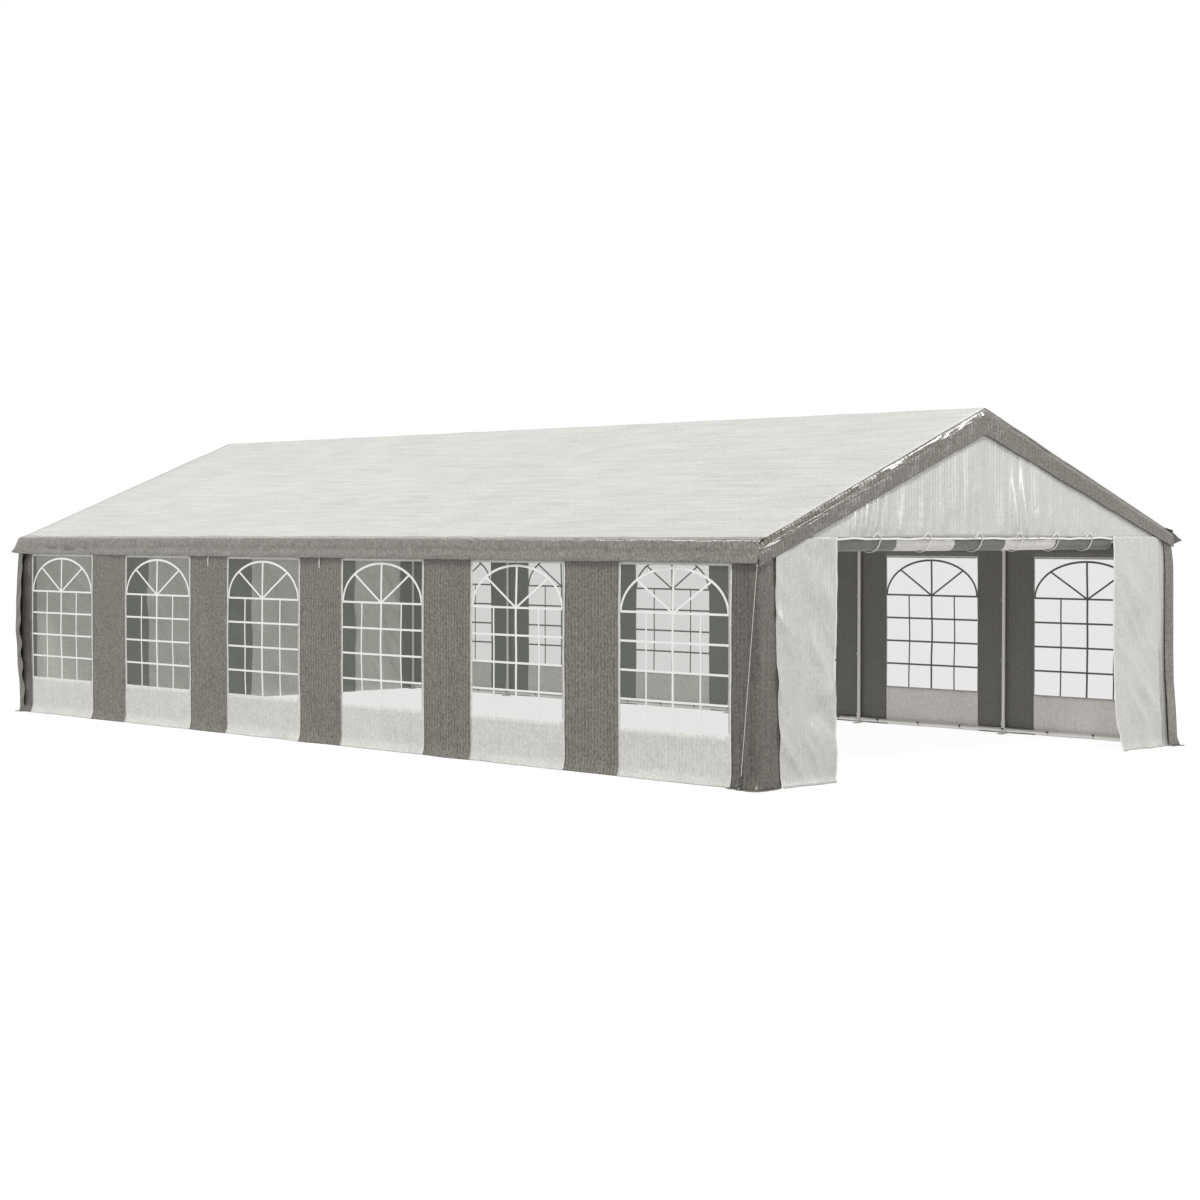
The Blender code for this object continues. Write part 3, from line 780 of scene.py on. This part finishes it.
def valance(side):
    """Grey band over one eave, with a folded hem."""
    name = side_name(side) + "_eave_valance"
    bent = EAVE_FLAT + EAVE_BEND
    reach = bent + EAVE_DROP
    end_y = HALF_L + 0.022
    ys = spaced([-end_y, end_y], 0.040)
    cuts = spaced([0.0, EAVE_FLAT], 0.02)[:-1] + spaced([EAVE_FLAT, bent], 0.008)[:-1]
    cuts += spaced([bent, reach], 0.009)

    def place(y, along):
        share = max(0.0, (along - bent) / EAVE_DROP)
        edge = 0.010 * ripple(y / 0.6, 6.0, 41.0 + side) * share
        return valance_point(side, y, along + edge)

    piece = cloth(name + "_cloth", ys, cuts, place, valance_grey, side_grey_inside, flip=side > 0)
    hem_at = [reach - HEM, reach - HEM + 0.002, reach]
    hem = cloth(
        name + "_hem", ys, spaced(hem_at, 0.012),
        lambda y, along: place(y, along) + Vector((side * 0.0018, 0, 0)),
        valance_grey, side_grey_inside, flip=side > 0, thickness=0.001)
    dress(piece, "grey_cloth", name)
    dress(hem, "grey_cloth", name)


# Gables
# Pleats of the pediment: place across the gable, width, depth
PLEATS = ((-1.82, 0.050, 0.6), (-1.68, 0.042, 1.0), (-1.54, 0.040, 0.9), (-1.38, 0.034, 0.5),
          (-1.18, 0.055, 0.45), (-0.88, 0.036, 0.35), (-0.55, 0.060, 0.3), (0.02, 0.055, 0.3),
          (0.28, 0.050, 0.5), (0.48, 0.045, 0.8), (0.64, 0.042, 1.1), (0.84, 0.055, 0.6),
          (1.06, 0.045, 0.6), (1.26, 0.050, 0.7), (1.50, 0.050, 0.5), (1.80, 0.045, 0.4))


def gable_drape(x, z, seed):
    """Upright folds of the pediment, sharpest a little above its hem, where it is gathered."""
    folds = 0.6 * ripple(x / 0.16 + 0.4 * z, z / 1.6, seed) + 0.4 * ripple(x / 0.07, z / 1.3, seed + 3)
    high_up = z - SEAM_Z
    sharp = 0.0
    for at, width, depth in PLEATS:
        lean = at - 0.10 * (at + 0.2) * high_up + 0.030 * ripple(z / 0.35, at * 7, seed)
        reach = exp(-(high_up / (0.22 + 0.50 * depth)) ** 2)
        sharp += depth * exp(-((x - lean) / (width * (1 + 0.6 * high_up))) ** 2) * reach
    return 0.012 * folds + 0.020 * ripple(x / 0.5, z / 1.2, seed + 5) + 0.036 * sharp * (
        0.25 + 0.75 * smooth(high_up / 0.09))


def gable_inside(end):
    """What the inner face of a gable's white cloth wears: the inner white with its painted light, which is
    dimmer and greener at the back gable.
    """
    return gable_white_inside if end < 0 else back_white_inside


def pediment(end):
    """White triangle of one gable."""
    name = end_name(end) + "_pediment"
    reach = high(name).x - 0.05
    seed = 50.0 + end

    def place(x, share):
        top = roof_z(x) - 0.006
        z = SEAM_Z - 0.006 + share * (top - SEAM_Z + 0.006)
        hang = smooth((top - z) / 0.30) * (0.5 + 0.5 * smooth((top - z) / 0.8))
        drape = above_zero(0.003 + gable_drape(x, z, seed) * hang)
        return Vector((x, end * (HALF_L + drape), z))

    xs = spaced([-reach, 0.0, reach], 0.011)
    shares = spaced([0.0, 1.0], 0.040)
    piece = cloth(name + "_cloth", xs, shares, place, gable_white, gable_inside(end), flip=end > 0)
    dress(piece, "white_cloth", name)


# Rake trims: a strip under the cover's edge, a rounded bend, then a band that hangs down
RAKE_OUT = 0.030        # how far the band hangs in front of the gable
RAKE_TOP = 0.016        # width of the strip
RAKE_BEND = 0.074       # length of the bend, which goes out and falls by the next two
RAKE_BEND_OUT = 0.046
RAKE_FALL = 0.058
RAKE_APEX_DROP = 0.243
RAKE_EAVE_DROP = 0.200
RAKE_SHORT_DROP = 0.155     # at the front right corner


def rake_trim(end):
    """Grey band that hangs in front of the gable from the sloping edges of the roof."""
    name = end_name(end) + "_rake_trim"
    reach = HALF_W + (0.018 if end < 0 else 0.002)
    edge_y = HALF_L + RAKE_OUT - RAKE_BEND_OUT
    bent = RAKE_TOP + RAKE_BEND

    def place(x, along):
        eave_drop = RAKE_SHORT_DROP if end < 0 < x else RAKE_EAVE_DROP
        drop = RAKE_APEX_DROP + (eave_drop - RAKE_APEX_DROP) * abs(x) / HALF_W
        steep = 0.50 + 0.5 * smooth((x + 1.6) / 0.5) * smooth((0.25 - x) / 0.3)
        steep *= 0.82 + 0.36 * ripple(x / 0.28, 0.0, 69.0 + end)
        crumple = 0.0045 * ripple(x / 0.13, along / 0.11, 61.0 + end)
        crumple += 0.0060 * ripple(x / 0.32, along / 0.15, 62.0 + end)
        lift = corner_lift(x, -HALF_L) if end < 0 else 0.0
        crest = roof_z(x) + roof_edge(x) - 0.006 + lift
        x += 0.4 * lift
        if along < RAKE_TOP:
            return Vector((x, end * (edge_y - RAKE_TOP + along), crest))
        if along < bent:
            part = (along - RAKE_TOP) / RAKE_BEND
            bulge = crumple * sin(pi * part)
            y = edge_y + RAKE_BEND_OUT * part ** (0.55 + 0.45 * steep) + bulge
            z = crest - RAKE_FALL * part ** (1.6 - 0.5 * steep) + bulge * 0.8
            return Vector((x, end * y, z))
        share = along - bent
        down = share * (drop - RAKE_FALL)
        sway = 0.005 * ripple(x / 0.20, down / 0.3, 65.0 + end) * smooth(down / 0.04)
        sway += 0.6 * crumple * (1 - smooth(down / 0.08)) * smooth(down / 0.02) - 0.030 * down
        edge = 0.005 * ripple(x / 0.35, 3.0, 67.0 + end) * share
        return Vector((x, end * (HALF_L + RAKE_OUT + sway), crest - RAKE_FALL - down + edge))

    xs = spaced([-reach, 0.0, reach], 0.018)
    cuts = [0.0] + spaced([RAKE_TOP, bent], 0.0066)[:-1] + spaced([bent, bent + 1.0], 0.06)
    piece = cloth(name + "_cloth", xs, cuts, place, gable_grey, gable_grey_inside, flip=end < 0)
    dress(piece, "grey_cloth", name)


def curtain_out(x, z, seed):
    """How far a gable curtain stands out: upright and slanting waves that grow towards the ground."""
    drop = smooth((SEAM_Z - z) / 0.9)
    drape = 0.026 * ripple(x / 0.30, z / 1.4, seed) + 0.005 * ripple(x / 0.10, z / 1.0, seed + 3)
    slant = 0.056 * ripple((x + 0.55 * z) / 0.28, (z - 0.5 * x) / 0.80, seed + 6)
    slant += 0.012 * ripple((x + 0.8 * z) / 0.13, (z - x) / 0.55, seed + 8)
    ridge = 1 - min(1.0, abs(ripple((x + 0.6 * z) / 0.32, (z - 0.5 * x) / 0.95, seed + 12)) * 3.2)
    slant += 0.011 * ridge * ridge
    return 0.006 + above_zero((drape + slant) * (0.30 + 0.70 * drop) + 0.006, 0.006)


def ground_sweep(z):
    """How far the foot of a gable's cloth is turned outward."""
    return 0.020 * max(0.0, 1 - z / 0.10) ** 2


def curtain(name, end, outer, inner, seed):
    """A white wall beside a gable doorway. outer and inner give its edges by how far down they are."""
    side = 1 if inner(0.0) > 0 else -1
    tucked = end < 0 < side     # the front right one lies behind the return at its outer edge

    def place(share, z):
        drop = max(0.0, 1 - z / SEAM_Z)
        start, stop = outer(drop), inner(drop) + 0.006 * ripple(z / 0.3, 0.0, seed + 1) * smooth(drop * 2)
        x = start + (stop - start) * share
        out = curtain_out(x, z, seed)
        if tucked:
            out *= smooth((start - x - 0.07) / 0.12)
        y = HALF_L + out + ground_sweep(z)
        lift = 0.010 * (0.5 + 0.5 * ripple(x / 0.16, 0.0, seed + 9)) * smooth(1 - z / 0.2)
        return Vector((x, end * y, z + lift - EDGE_Z * drop))

    shares = spaced([0.0, 1.0], 0.020)
    heights = spaced([EDGE_Z, CURTAIN_TOP_Z], 0.022)
    flip = (end < 0) == (side > 0)
    piece = cloth(name + "_cloth", shares, heights, place, gable_white, gable_inside(end), flip=flip)
    hem = cloth(name + "_hem", [0.976, 0.988, 1.002], heights,
                lambda share, z: place(share, z) + Vector((0, end * 0.0014, 0)),
                hem_white, hem_white, flip=flip, thickness=0.001)
    dress(piece, "white_cloth", name)
    dress(hem, "white_cloth", name)
    abs(inner(0.0) - outer(0.0))


CURTAIN_X = 2.805       # outer edge of three curtains
TUCKED_X = 2.95         # and of the front right one
BACK_SEED = 83.0        # the back curtains and the back door share their folds


def gable_curtains():
    """The four curtains. The front ones' edges wander on their way down."""
    def left_inner(drop):
        return -DOOR_HALF - 0.028 * smooth(drop / 0.7) * (1 - 0.75 * smooth((drop - 0.72) / 0.28))

    curtain("front_left_curtain", -1, lambda drop: -CURTAIN_X + 0.08 * drop ** 1.5, left_inner, 71.0)
    curtain("front_right_curtain", -1, lambda drop: TUCKED_X + 0.08 * drop ** 3,
            lambda drop: DOOR_HALF + 0.125 * drop ** 3, 73.0)
    curtain("back_left_curtain", 1, lambda drop: -CURTAIN_X, lambda drop: LAP - DOOR_HALF, BACK_SEED)
    curtain("back_right_curtain", 1, lambda drop: CURTAIN_X, lambda drop: DOOR_HALF - LAP, BACK_SEED)


ROLL_WHITE = (0.47, 0.455, 0.435)
DOOR_STRIPES = (-1.21, -0.40, 0.345, 1.125)


def stripes(nodes, grey, white):
    """Grey and white stripes of the doors, by their place across the gable, with white hems."""
    share = None
    edge = 0.004
    for index, mark in enumerate(DOOR_STRIPES):
        step = nodes.between(nodes.axis["x"], 0.0, 1.0, mark - edge, mark + edge)
        share = step if share is None else nodes.math("SUBTRACT" if index % 2 else "ADD", share, step)
    hem = nodes.math("GREATER_THAN", nodes.math("ABSOLUTE", nodes.axis["x"]), DOOR_HALF - 0.014)
    mix = {"Factor": nodes.math("MAXIMUM", share, hem), "A": grey, "B": white}
    return nodes.add("ShaderNodeMix", mix, data_type="RGBA").outputs["Result"]


door_outside = woven("door_outside", (GREY, WHITE), "x", "z", rib=0.030, contrast=0.04, speck=0.13)
door_inside = woven("door_inside", (INNER_GREY, ROLL_WHITE), "x", "z", rib=0.030, contrast=0.04, speck=0.13)


def back_door():
    """The closed door of the back gable."""
    def place(x, z):
        return Vector((x, HALF_L - 0.004 + curtain_out(x, z, BACK_SEED) + ground_sweep(z), z))

    xs = spaced([-DOOR_HALF, DOOR_HALF], 0.035)
    heights = spaced([EDGE_Z, CURTAIN_TOP_Z], 0.045)
    piece = cloth("back_door_cloth", xs, heights, place, door_outside, door_inside, flip=True)
    dress(piece, "grey_cloth", "back_door")


# Loose flaps
def back_left_flap():
    """The back wall's edge, turned round the left corner post, with a wavy free edge."""
    turn_r, end_y = 0.034, HALF_L + 0.022
    turn_at = 0.16
    side_at = turn_at + turn_r * pi / 2
    width = side_at + 0.120
    wave = 2 * pi / 0.28
    furthest_x = -HALF_W - 0.098

    def place(along, z):
        drop = 1 - z / SEAM_Z
        away = 0.050 * sin(pi * min(1.0, drop * 1.05)) ** 1.5 + 0.012 * ripple(z / 0.22, 0.0, 101.0)
        away = max(0.002, away * smooth(drop * 6))
        free = smooth((along - turn_at) / (width - turn_at))
        x = -HALF_W - 0.012 - away
        if along < turn_at:
            x, y = x + turn_r + turn_at - along, end_y
        elif along < side_at:
            angle = (along - turn_at) / turn_r
            x, y = x + turn_r * (1 - sin(angle)), end_y - turn_r * (1 - cos(angle))
        else:
            x += free * (0.012 * sin(wave * z + 0.8) - 0.014)
            y = end_y - turn_r - (along - side_at)
            y += 0.016 * sin(wave * z + 1.5 * ripple(z, 0.0, 103.0)) * free
        return Vector((max(x, furthest_x), y, z + 0.010 * free * smooth(1 - z / 0.1)))

    cuts = spaced([0.0, turn_at], 0.03)[:-1] + spaced([turn_at, side_at], 0.012)[:-1]
    cuts += spaced([side_at, width], 0.012)
    heights = spaced([0.020, VALANCE_LOW_Z + 0.030], 0.028)
    piece = cloth("back_left_flap", cuts, heights, place, flap_grey, side_grey_inside)
    dress(piece, "grey_cloth")


def ground_flap(name, side, runs, widths, seed):
    """The hem of a corner strip, lying on the ground outside the wall. Widths are metres at each run."""
    def place(run, share):
        inner = wall_point(side, run, EDGE_Z)
        outward = wall_line(side, run)[1]
        passed = sum(run > mark for mark in runs[1:-1])
        part = (run - runs[passed]) / (runs[passed + 1] - runs[passed])
        width = widths[passed] + (widths[passed + 1] - widths[passed]) * part
        width += 0.010 * ripple(run / 0.06, 0.0, seed) * share
        flat = Vector((outward.x, outward.y, 0)) * width * share
        z = 0.0045 + 0.004 * (1 - share) + 0.003 * ripple(run / 0.07, share, seed + 1) * share
        return Vector((inner.x + flat.x, inner.y + flat.y, z))

    cuts = spaced(runs, 0.014)
    piece = cloth(name, cuts, spaced([-0.2, 0.0, 1.0], 0.22), place, flap_grey, side_grey_inside,
                  flip=side > 0)
    dress(piece, "grey_cloth")


def ground_flaps():
    """The three corners where a hem is seen on the ground."""
    front, back = -HALF_L, HALF_L
    ground_flap("front_left_ground_flap", -1, [-run_of(0.235), front - 0.02, front + 0.06, front + 0.33],
                [0.030, 0.055, 0.050, 0.022], 111.0)
    ground_flap("front_right_ground_flap", 1, [-run_of(0.14), front - 0.045, front - 0.01, front + 0.25],
                [0.015, 0.030, 0.055, 0.015], 113.0)
    ground_flap("back_left_ground_flap", -1, [back - 0.14, back, back + 0.02, run_of(0.12)],
                [0.020, 0.045, 0.055, 0.020], 115.0)


TAB_PLACES = (2.0, 0.01)
TAB_HALF = 0.007        # half a tab's width
TAB_THICK = 0.0014
TAB_LONG = 0.115
TAB_STEPS = 8


def tabs():
    """Webbing tabs under the valances."""
    for side in (-1, 1):
        corners, faces = [], []
        for y in TAB_PLACES:
            faces += band_faces(len(corners), TAB_STEPS + 1)
            for step in range(TAB_STEPS + 1):
                z = PANEL_TOP_Z - 0.01 - TAB_LONG * step / TAB_STEPS
                x = wall_point(side, y, z, 0.0035 + 0.004 * sin(step / 2.2)).x
                lean = 0.010 * step / TAB_STEPS
                for out in (0.0, TAB_THICK):
                    for across in (-TAB_HALF, TAB_HALF):
                        corners.append((x + side * out, y + across + lean, z))
        if side > 0:
            faces = [face[::-1] for face in faces]
        mesh = mesh_of("tabs", corners, faces)
        dress(shown(side_name(side) + "_tabs", mesh, webbing), "white_webbing")


# Rolled door
ROLL_PITCH = 0.0105     # from one turn of the roll to the next
ROLL_CORE = 0.020
STRAPS = (-1.50, -0.81, -0.07, 0.53, 1.10, 1.64)
STRAP_R = 0.0035
STRAP_TOP_Z = 2.134


def rolled_door():
    """The front door's cloth as a true roll, hung from the pediment's hem."""
    turns = (ROLL_R - ROLL_CORE) / ROLL_PITCH
    steps = round(turns * 22)

    def place(x, index):
        turn = index / steps * turns
        angle = pi / 2 - (turns - turn) * 2 * pi
        squeeze = 1 - 0.06 * max(exp(-((x - strap) / 0.05) ** 2) for strap in STRAPS)
        lump = 1 + 0.030 * ripple(x / 0.5, cos(angle + 0.5), 91.0 + sin(angle + 0.5))
        radius = (ROLL_CORE + turn * ROLL_PITCH) * squeeze * lump
        droop = 0.004 * ripple(x / 0.8, 0.0, 93.0)
        return Vector((x, ROLL.y - radius * cos(angle), ROLL.z + droop + radius * sin(angle)))

    xs = spaced([-DOOR_HALF, DOOR_HALF], 0.04)
    piece = cloth("rolled_door_cloth", xs, list(range(steps + 1)), place, door_inside, door_outside)
    dress(piece, "grey_cloth", "rolled_door")


def door_straps():
    """Cord loops: each comes through the pediment, crosses the roll and goes round behind it."""
    runs = []
    ring = ROLL_R + STRAP_R + 0.001
    front = -HALF_L - 0.014
    for x in STRAPS:
        path = [(x, front, STRAP_TOP_Z), (x + 0.034, front - 0.002, STRAP_TOP_Z - 0.024),
                (x + 0.050, front - 0.001, PEDIMENT_LOW_Z)]
        for angle in range(0, 260, 13):
            turn = radians(angle)
            shift = 0.050 - 0.10 * angle / 260
            path.append((x + shift, ROLL.y - ring * cos(turn), ROLL.z - ring * sin(turn)))
        path += [(x - 0.060, -HALF_L + 0.012, PEDIMENT_LOW_Z + 0.012),
                 (x - 0.064, -HALF_L - 0.004, PEDIMENT_LOW_Z - 0.006),
                 (x - 0.060, front, PEDIMENT_LOW_Z + 0.014), (x - 0.003, front, STRAP_TOP_Z)]
        runs.append((path, STRAP_R))
    dress(tubes("door_straps_cords", runs, webbing, 10), "white_webbing", "door_straps")


def pediment_hem():
    """White tape along the front pediment's lower edge."""
    fold = 0.006
    heights = [PEDIMENT_LOW_Z - fold, PEDIMENT_LOW_Z, SEAM_Z - 0.004]

    def place(x, z):
        out = 0.006 + above_zero(gable_drape(x, SEAM_Z, 49.0) * 0.6)
        return Vector((x, -HALF_L - out, z + 0.010 * ripple(x / 0.24, 1.0, 98.0)))

    tape = cloth("pediment_hem", spaced([-DOOR_HALF, DOOR_HALF], 0.03), heights, place, hem_white, hem_white,
                 thickness=0.0016)
    dress(tape, "white_cloth", "door_straps")


# Steel frame
LEG_REACH = 0.0225      # from the axis of a gable's portal to the outermost steel
FOOT_REACH = 0.045      # and from the middle of its foot plates
SLEEVE_HALF = 0.11
SOCKET = (0.018, 0.11)  # where a socket starts and ends, from the corner of the portal
FOOT_SOCKET = 0.135
FOOT_THICK = 0.004
FOOT_HALF = 0.040
FOOT_OUT = 0.022        # from a leg's axis to its plate's outer edge
FOOT_IN = 0.088         # to its inner edge
FOOT_ROUND = 0.014
PEG_IN = 0.070          # and to the peg
KNOBS_Z = (0.105, 0.78, 1.42, EAVE_AXIS.z - 0.085)
UP = Vector((0, 0, 1))


def portal_y(node, inset):
    """Where a portal stands. A gable's one is set in from the end of its node's box."""
    lowest, highest = low(node).y, high(node).y
    if node == PORTAL_NODES[0]:
        return lowest + inset
    if node == PORTAL_NODES[-1]:
        return highest - inset
    return (lowest + highest) / 2


def portal(node):
    """One portal: legs, rafters, sockets, sleeves and knobs."""
    plane = portal_y(node, LEG_REACH)
    socket_r, sleeve_r = TUBE_R + 0.0030, TUBE_R + 0.0035
    start, end = max(low(node).y, plane - SLEEVE_HALF), min(high(node).y, plane + SLEEVE_HALF)
    ridge = Vector((0, plane, RIDGE_AXIS.z))
    near, far = SOCKET
    runs = [([(0, start, RIDGE_AXIS.z), (0, end, RIDGE_AXIS.z)], sleeve_r)]
    for side in (-1, 1):
        eave = Vector((side * EAVE_AXIS.x, plane, EAVE_AXIS.z))
        foot = Vector((eave.x, plane, FOOT_THICK))
        along = (ridge - eave).normalized()
        runs += [
            ([foot, eave], TUBE_R), ([eave, ridge], TUBE_R),
            ([foot, foot + UP * FOOT_SOCKET], socket_r), ([eave - UP * far, eave - UP * near], socket_r),
            ([eave + along * near, eave + along * far], socket_r),
            ([ridge - along * far, ridge - along * near], socket_r)]
        for x, z in ((eave.x, eave.z), (side * PURLIN_AXIS.x, PURLIN_AXIS.z), (eave.x, GROUND_AXIS.z)):
            runs.append(([(x, start, z), (x, end, z)], sleeve_r))
        inward = Vector((-side, 0, 0))
        for z in KNOBS_Z:
            knob = Vector((eave.x, plane, z))
            runs.append(([knob, knob + inward * 0.036], 0.004))
            runs.append(([knob + inward * 0.024, knob + inward * 0.034], 0.009))
    dress(tubes(node + "_steel", runs, steel_white), "white_steel", node)


def foot_plates():
    """Plates under the legs, each with a peg through it."""
    for node in PORTAL_NODES:
        y = portal_y(node, FOOT_REACH)
        for side in (-1, 1):
            xs = sorted((side * (EAVE_AXIS.x + FOOT_OUT), side * (EAVE_AXIS.x - FOOT_IN)))
            corners = rounded(xs[0], y - FOOT_HALF, xs[1], y + FOOT_HALF, FOOT_ROUND)
            piece = plate(node + "_foot_" + side_name(side), corners, 0.0, FOOT_THICK, steel_white)
            dress(piece, "white_steel", node)
            base = Vector((side * (EAVE_AXIS.x - PEG_IN), y, 0.0))
            runs = [([base, base + UP * 0.016], 0.005), ([base + UP * 0.006, base + UP * 0.010], 0.011)]
            dress(tubes(node + "_peg_" + side_name(side), runs, steel_bare, 14), "peg_steel")


def rounded(x0, y0, x1, y1, radius):
    """Outline of a rectangle with round corners."""
    outline = []
    for cx, cy, first in ((x1 - radius, y0 + radius, -90), (x1 - radius, y1 - radius, 0),
                          (x0 + radius, y1 - radius, 90), (x0 + radius, y0 + radius, 180)):
        for step in range(5):
            angle = radians(first + 22.5 * step)
            outline.append((cx + radius * cos(angle), cy + radius * sin(angle)))
    return outline


def plate(name, outline, z0, z1, material):
    """A flat plate over an outline."""
    count = len(outline)
    corners = [(x, y, z0) for x, y in outline] + [(x, y, z1) for x, y in outline]
    faces = [list(range(count))[::-1], [count + index for index in range(count)]]
    faces += [[index, (index + 1) % count, count + (index + 1) % count, count + index]
              for index in range(count)]
    return hard_edged(name, mesh_of(name, corners, faces), material)


def long_bars():
    """The bars that run the whole length."""
    for node in ("ridge_bar", "left_eave_bar", "right_eave_bar", "left_purlin", "right_purlin",
                 "left_ground_bar", "right_ground_bar"):
        axis = middle(node)
        ends = [(axis.x, -BAR_END_Y, axis.z), (axis.x, BAR_END_Y, axis.z)]
        dress(tubes(node + "_steel", [(ends, TUBE_R)], steel_white, 24), "white_steel", node)


# Small fittings
TIES = 21               # on each side
TIE_FROM_END = 0.28
TIE_PITCH = 0.572
TIE_R = 0.002
BALL_R = 0.010


def ground_ties():
    """Elastic loops with a ball that hold the wall's hem to the ground bar."""
    ring_r = TUBE_R + TIE_R
    for side in (-1, 1):
        runs = []
        for index in range(TIES):
            at = Vector((side * GROUND_AXIS.x, -HALF_L + TIE_FROM_END + index * TIE_PITCH, GROUND_AXIS.z))
            angles = [radians(turn) for turn in range(0, 361, 30)]
            ring = [at + Vector((side * ring_r * cos(angle), 0.004 * sin(angle * 2), ring_r * sin(angle)))
                    for angle in angles]
            runs.append((ring, TIE_R))
            ball = at + Vector((-side * (TUBE_R + 0.008), 0, BALL_R))
            runs.append(([ball - UP * BALL_R * 0.8, ball + UP * BALL_R * 0.8], BALL_R))
        dress(tubes(side_name(side) + "_ground_ties", runs, rubber_black, 8), "white_rope")


GUY_TOP_X = 3.0045
GUY_END_X = 3.060
GUY_PEG = (3.064, -5.861)
STRANDS = 3             # of the twisted guy rope
STRAND_R = 0.0016
TWISTS = 60
ROPE_POINTS = 220
ZIGZAGS = 8             # of the elastic tensioner
SWING = 0.020


def guy_rope(side):
    """Taut rope from the front corner to its elastic tensioner and peg."""
    name = "front_" + side_name(side)
    rope, peg = name + "_guy_rope", name + "_peg"
    box_low, box_high = low(rope), high(rope)
    top = Vector((side * GUY_TOP_X, box_low.y + 0.003, box_high.z - 0.002))
    end = Vector((side * GUY_END_X, box_high.y - 0.003, box_low.z))
    base = Vector((side * GUY_PEG[0], GUY_PEG[1], 0.0))
    runs = []
    for strand in range(STRANDS):
        path = []
        for index in range(ROPE_POINTS + 1):
            share = index / ROPE_POINTS
            angle = 2 * pi * (share * TWISTS + strand / STRANDS)
            path.append(top + (end - top) * share + 0.0013 * Vector((cos(angle), sin(angle), 0)))
        runs.append((path, STRAND_R))
    knot = top + Vector((side * 0.002, 0, -0.012))
    runs.append(([knot + UP * 0.010, knot - UP * 0.012], 0.007))
    dress(tubes(rope + "_strands", runs, rope_white, 6), "white_rope", rope)
    zigzag = []
    for index in range(ZIGZAGS + 1):
        swing = 0.7 * SWING * (1 if index % 2 else -1) if 0 < index < ZIGZAGS else 0.0
        at = end + (base + UP * 0.012 - end) * index / ZIGZAGS
        zigzag.append(at + Vector((swing, -swing, 0)))
    dress(tubes(peg + "_tensioner", [(zigzag, 0.0055)], rubber_black, 8), "white_rope", peg)
    hook = [base + Vector((side * across, 0, z))
            for across, z in ((0.0, 0.0), (0.0, 0.020), (0.010, 0.026), (0.020, 0.018))]
    dress(tubes(peg + "_pin", [(hook, 0.004)], steel_bare, 10), "peg_steel", peg)


KEY_WAY = (0.38, 0.45, -0.81)
KEY_POWER = 3.9
KEY_SPREAD = radians(14)


def stage_lights():
    """A broad key from the front left, and three lamps that draw the gloss on folds and folded edges."""
    lamp("key", "SUN", KEY_WAY, KEY_POWER).data.angle = KEY_SPREAD
    softbox("rake_gloss", (5, -10, 12), (-1, -6, 2.9), 2.2, 1.8, 520)
    softbox("fold_gloss", (4.6, -13.5, 3.6), (0, -6, 2.4), 0.9, 0.9, 130)
    softbox("eave_gloss", (-6, 6, 13), (-3, -5, 2.1), 2.2, 1.8, 420)


camera()
stage()
stage_lights()
roof()
for side in (-1, 1):
    wall_cloth(side)
    for node in panel_nodes(side):
        window_panel(side, node)
        window(side, node)
    valance(side)
for end in (-1, 1):
    pediment(end)
    rake_trim(end)
gable_curtains()
back_door()
back_left_flap()
ground_flaps()
tabs()
rolled_door()
door_straps()
pediment_hem()
for node in PORTAL_NODES:
    portal(node)
foot_plates()
long_bars()
ground_ties()
for side in (-1, 1):
    guy_rope(side)

bpy.context.view_layer.update()
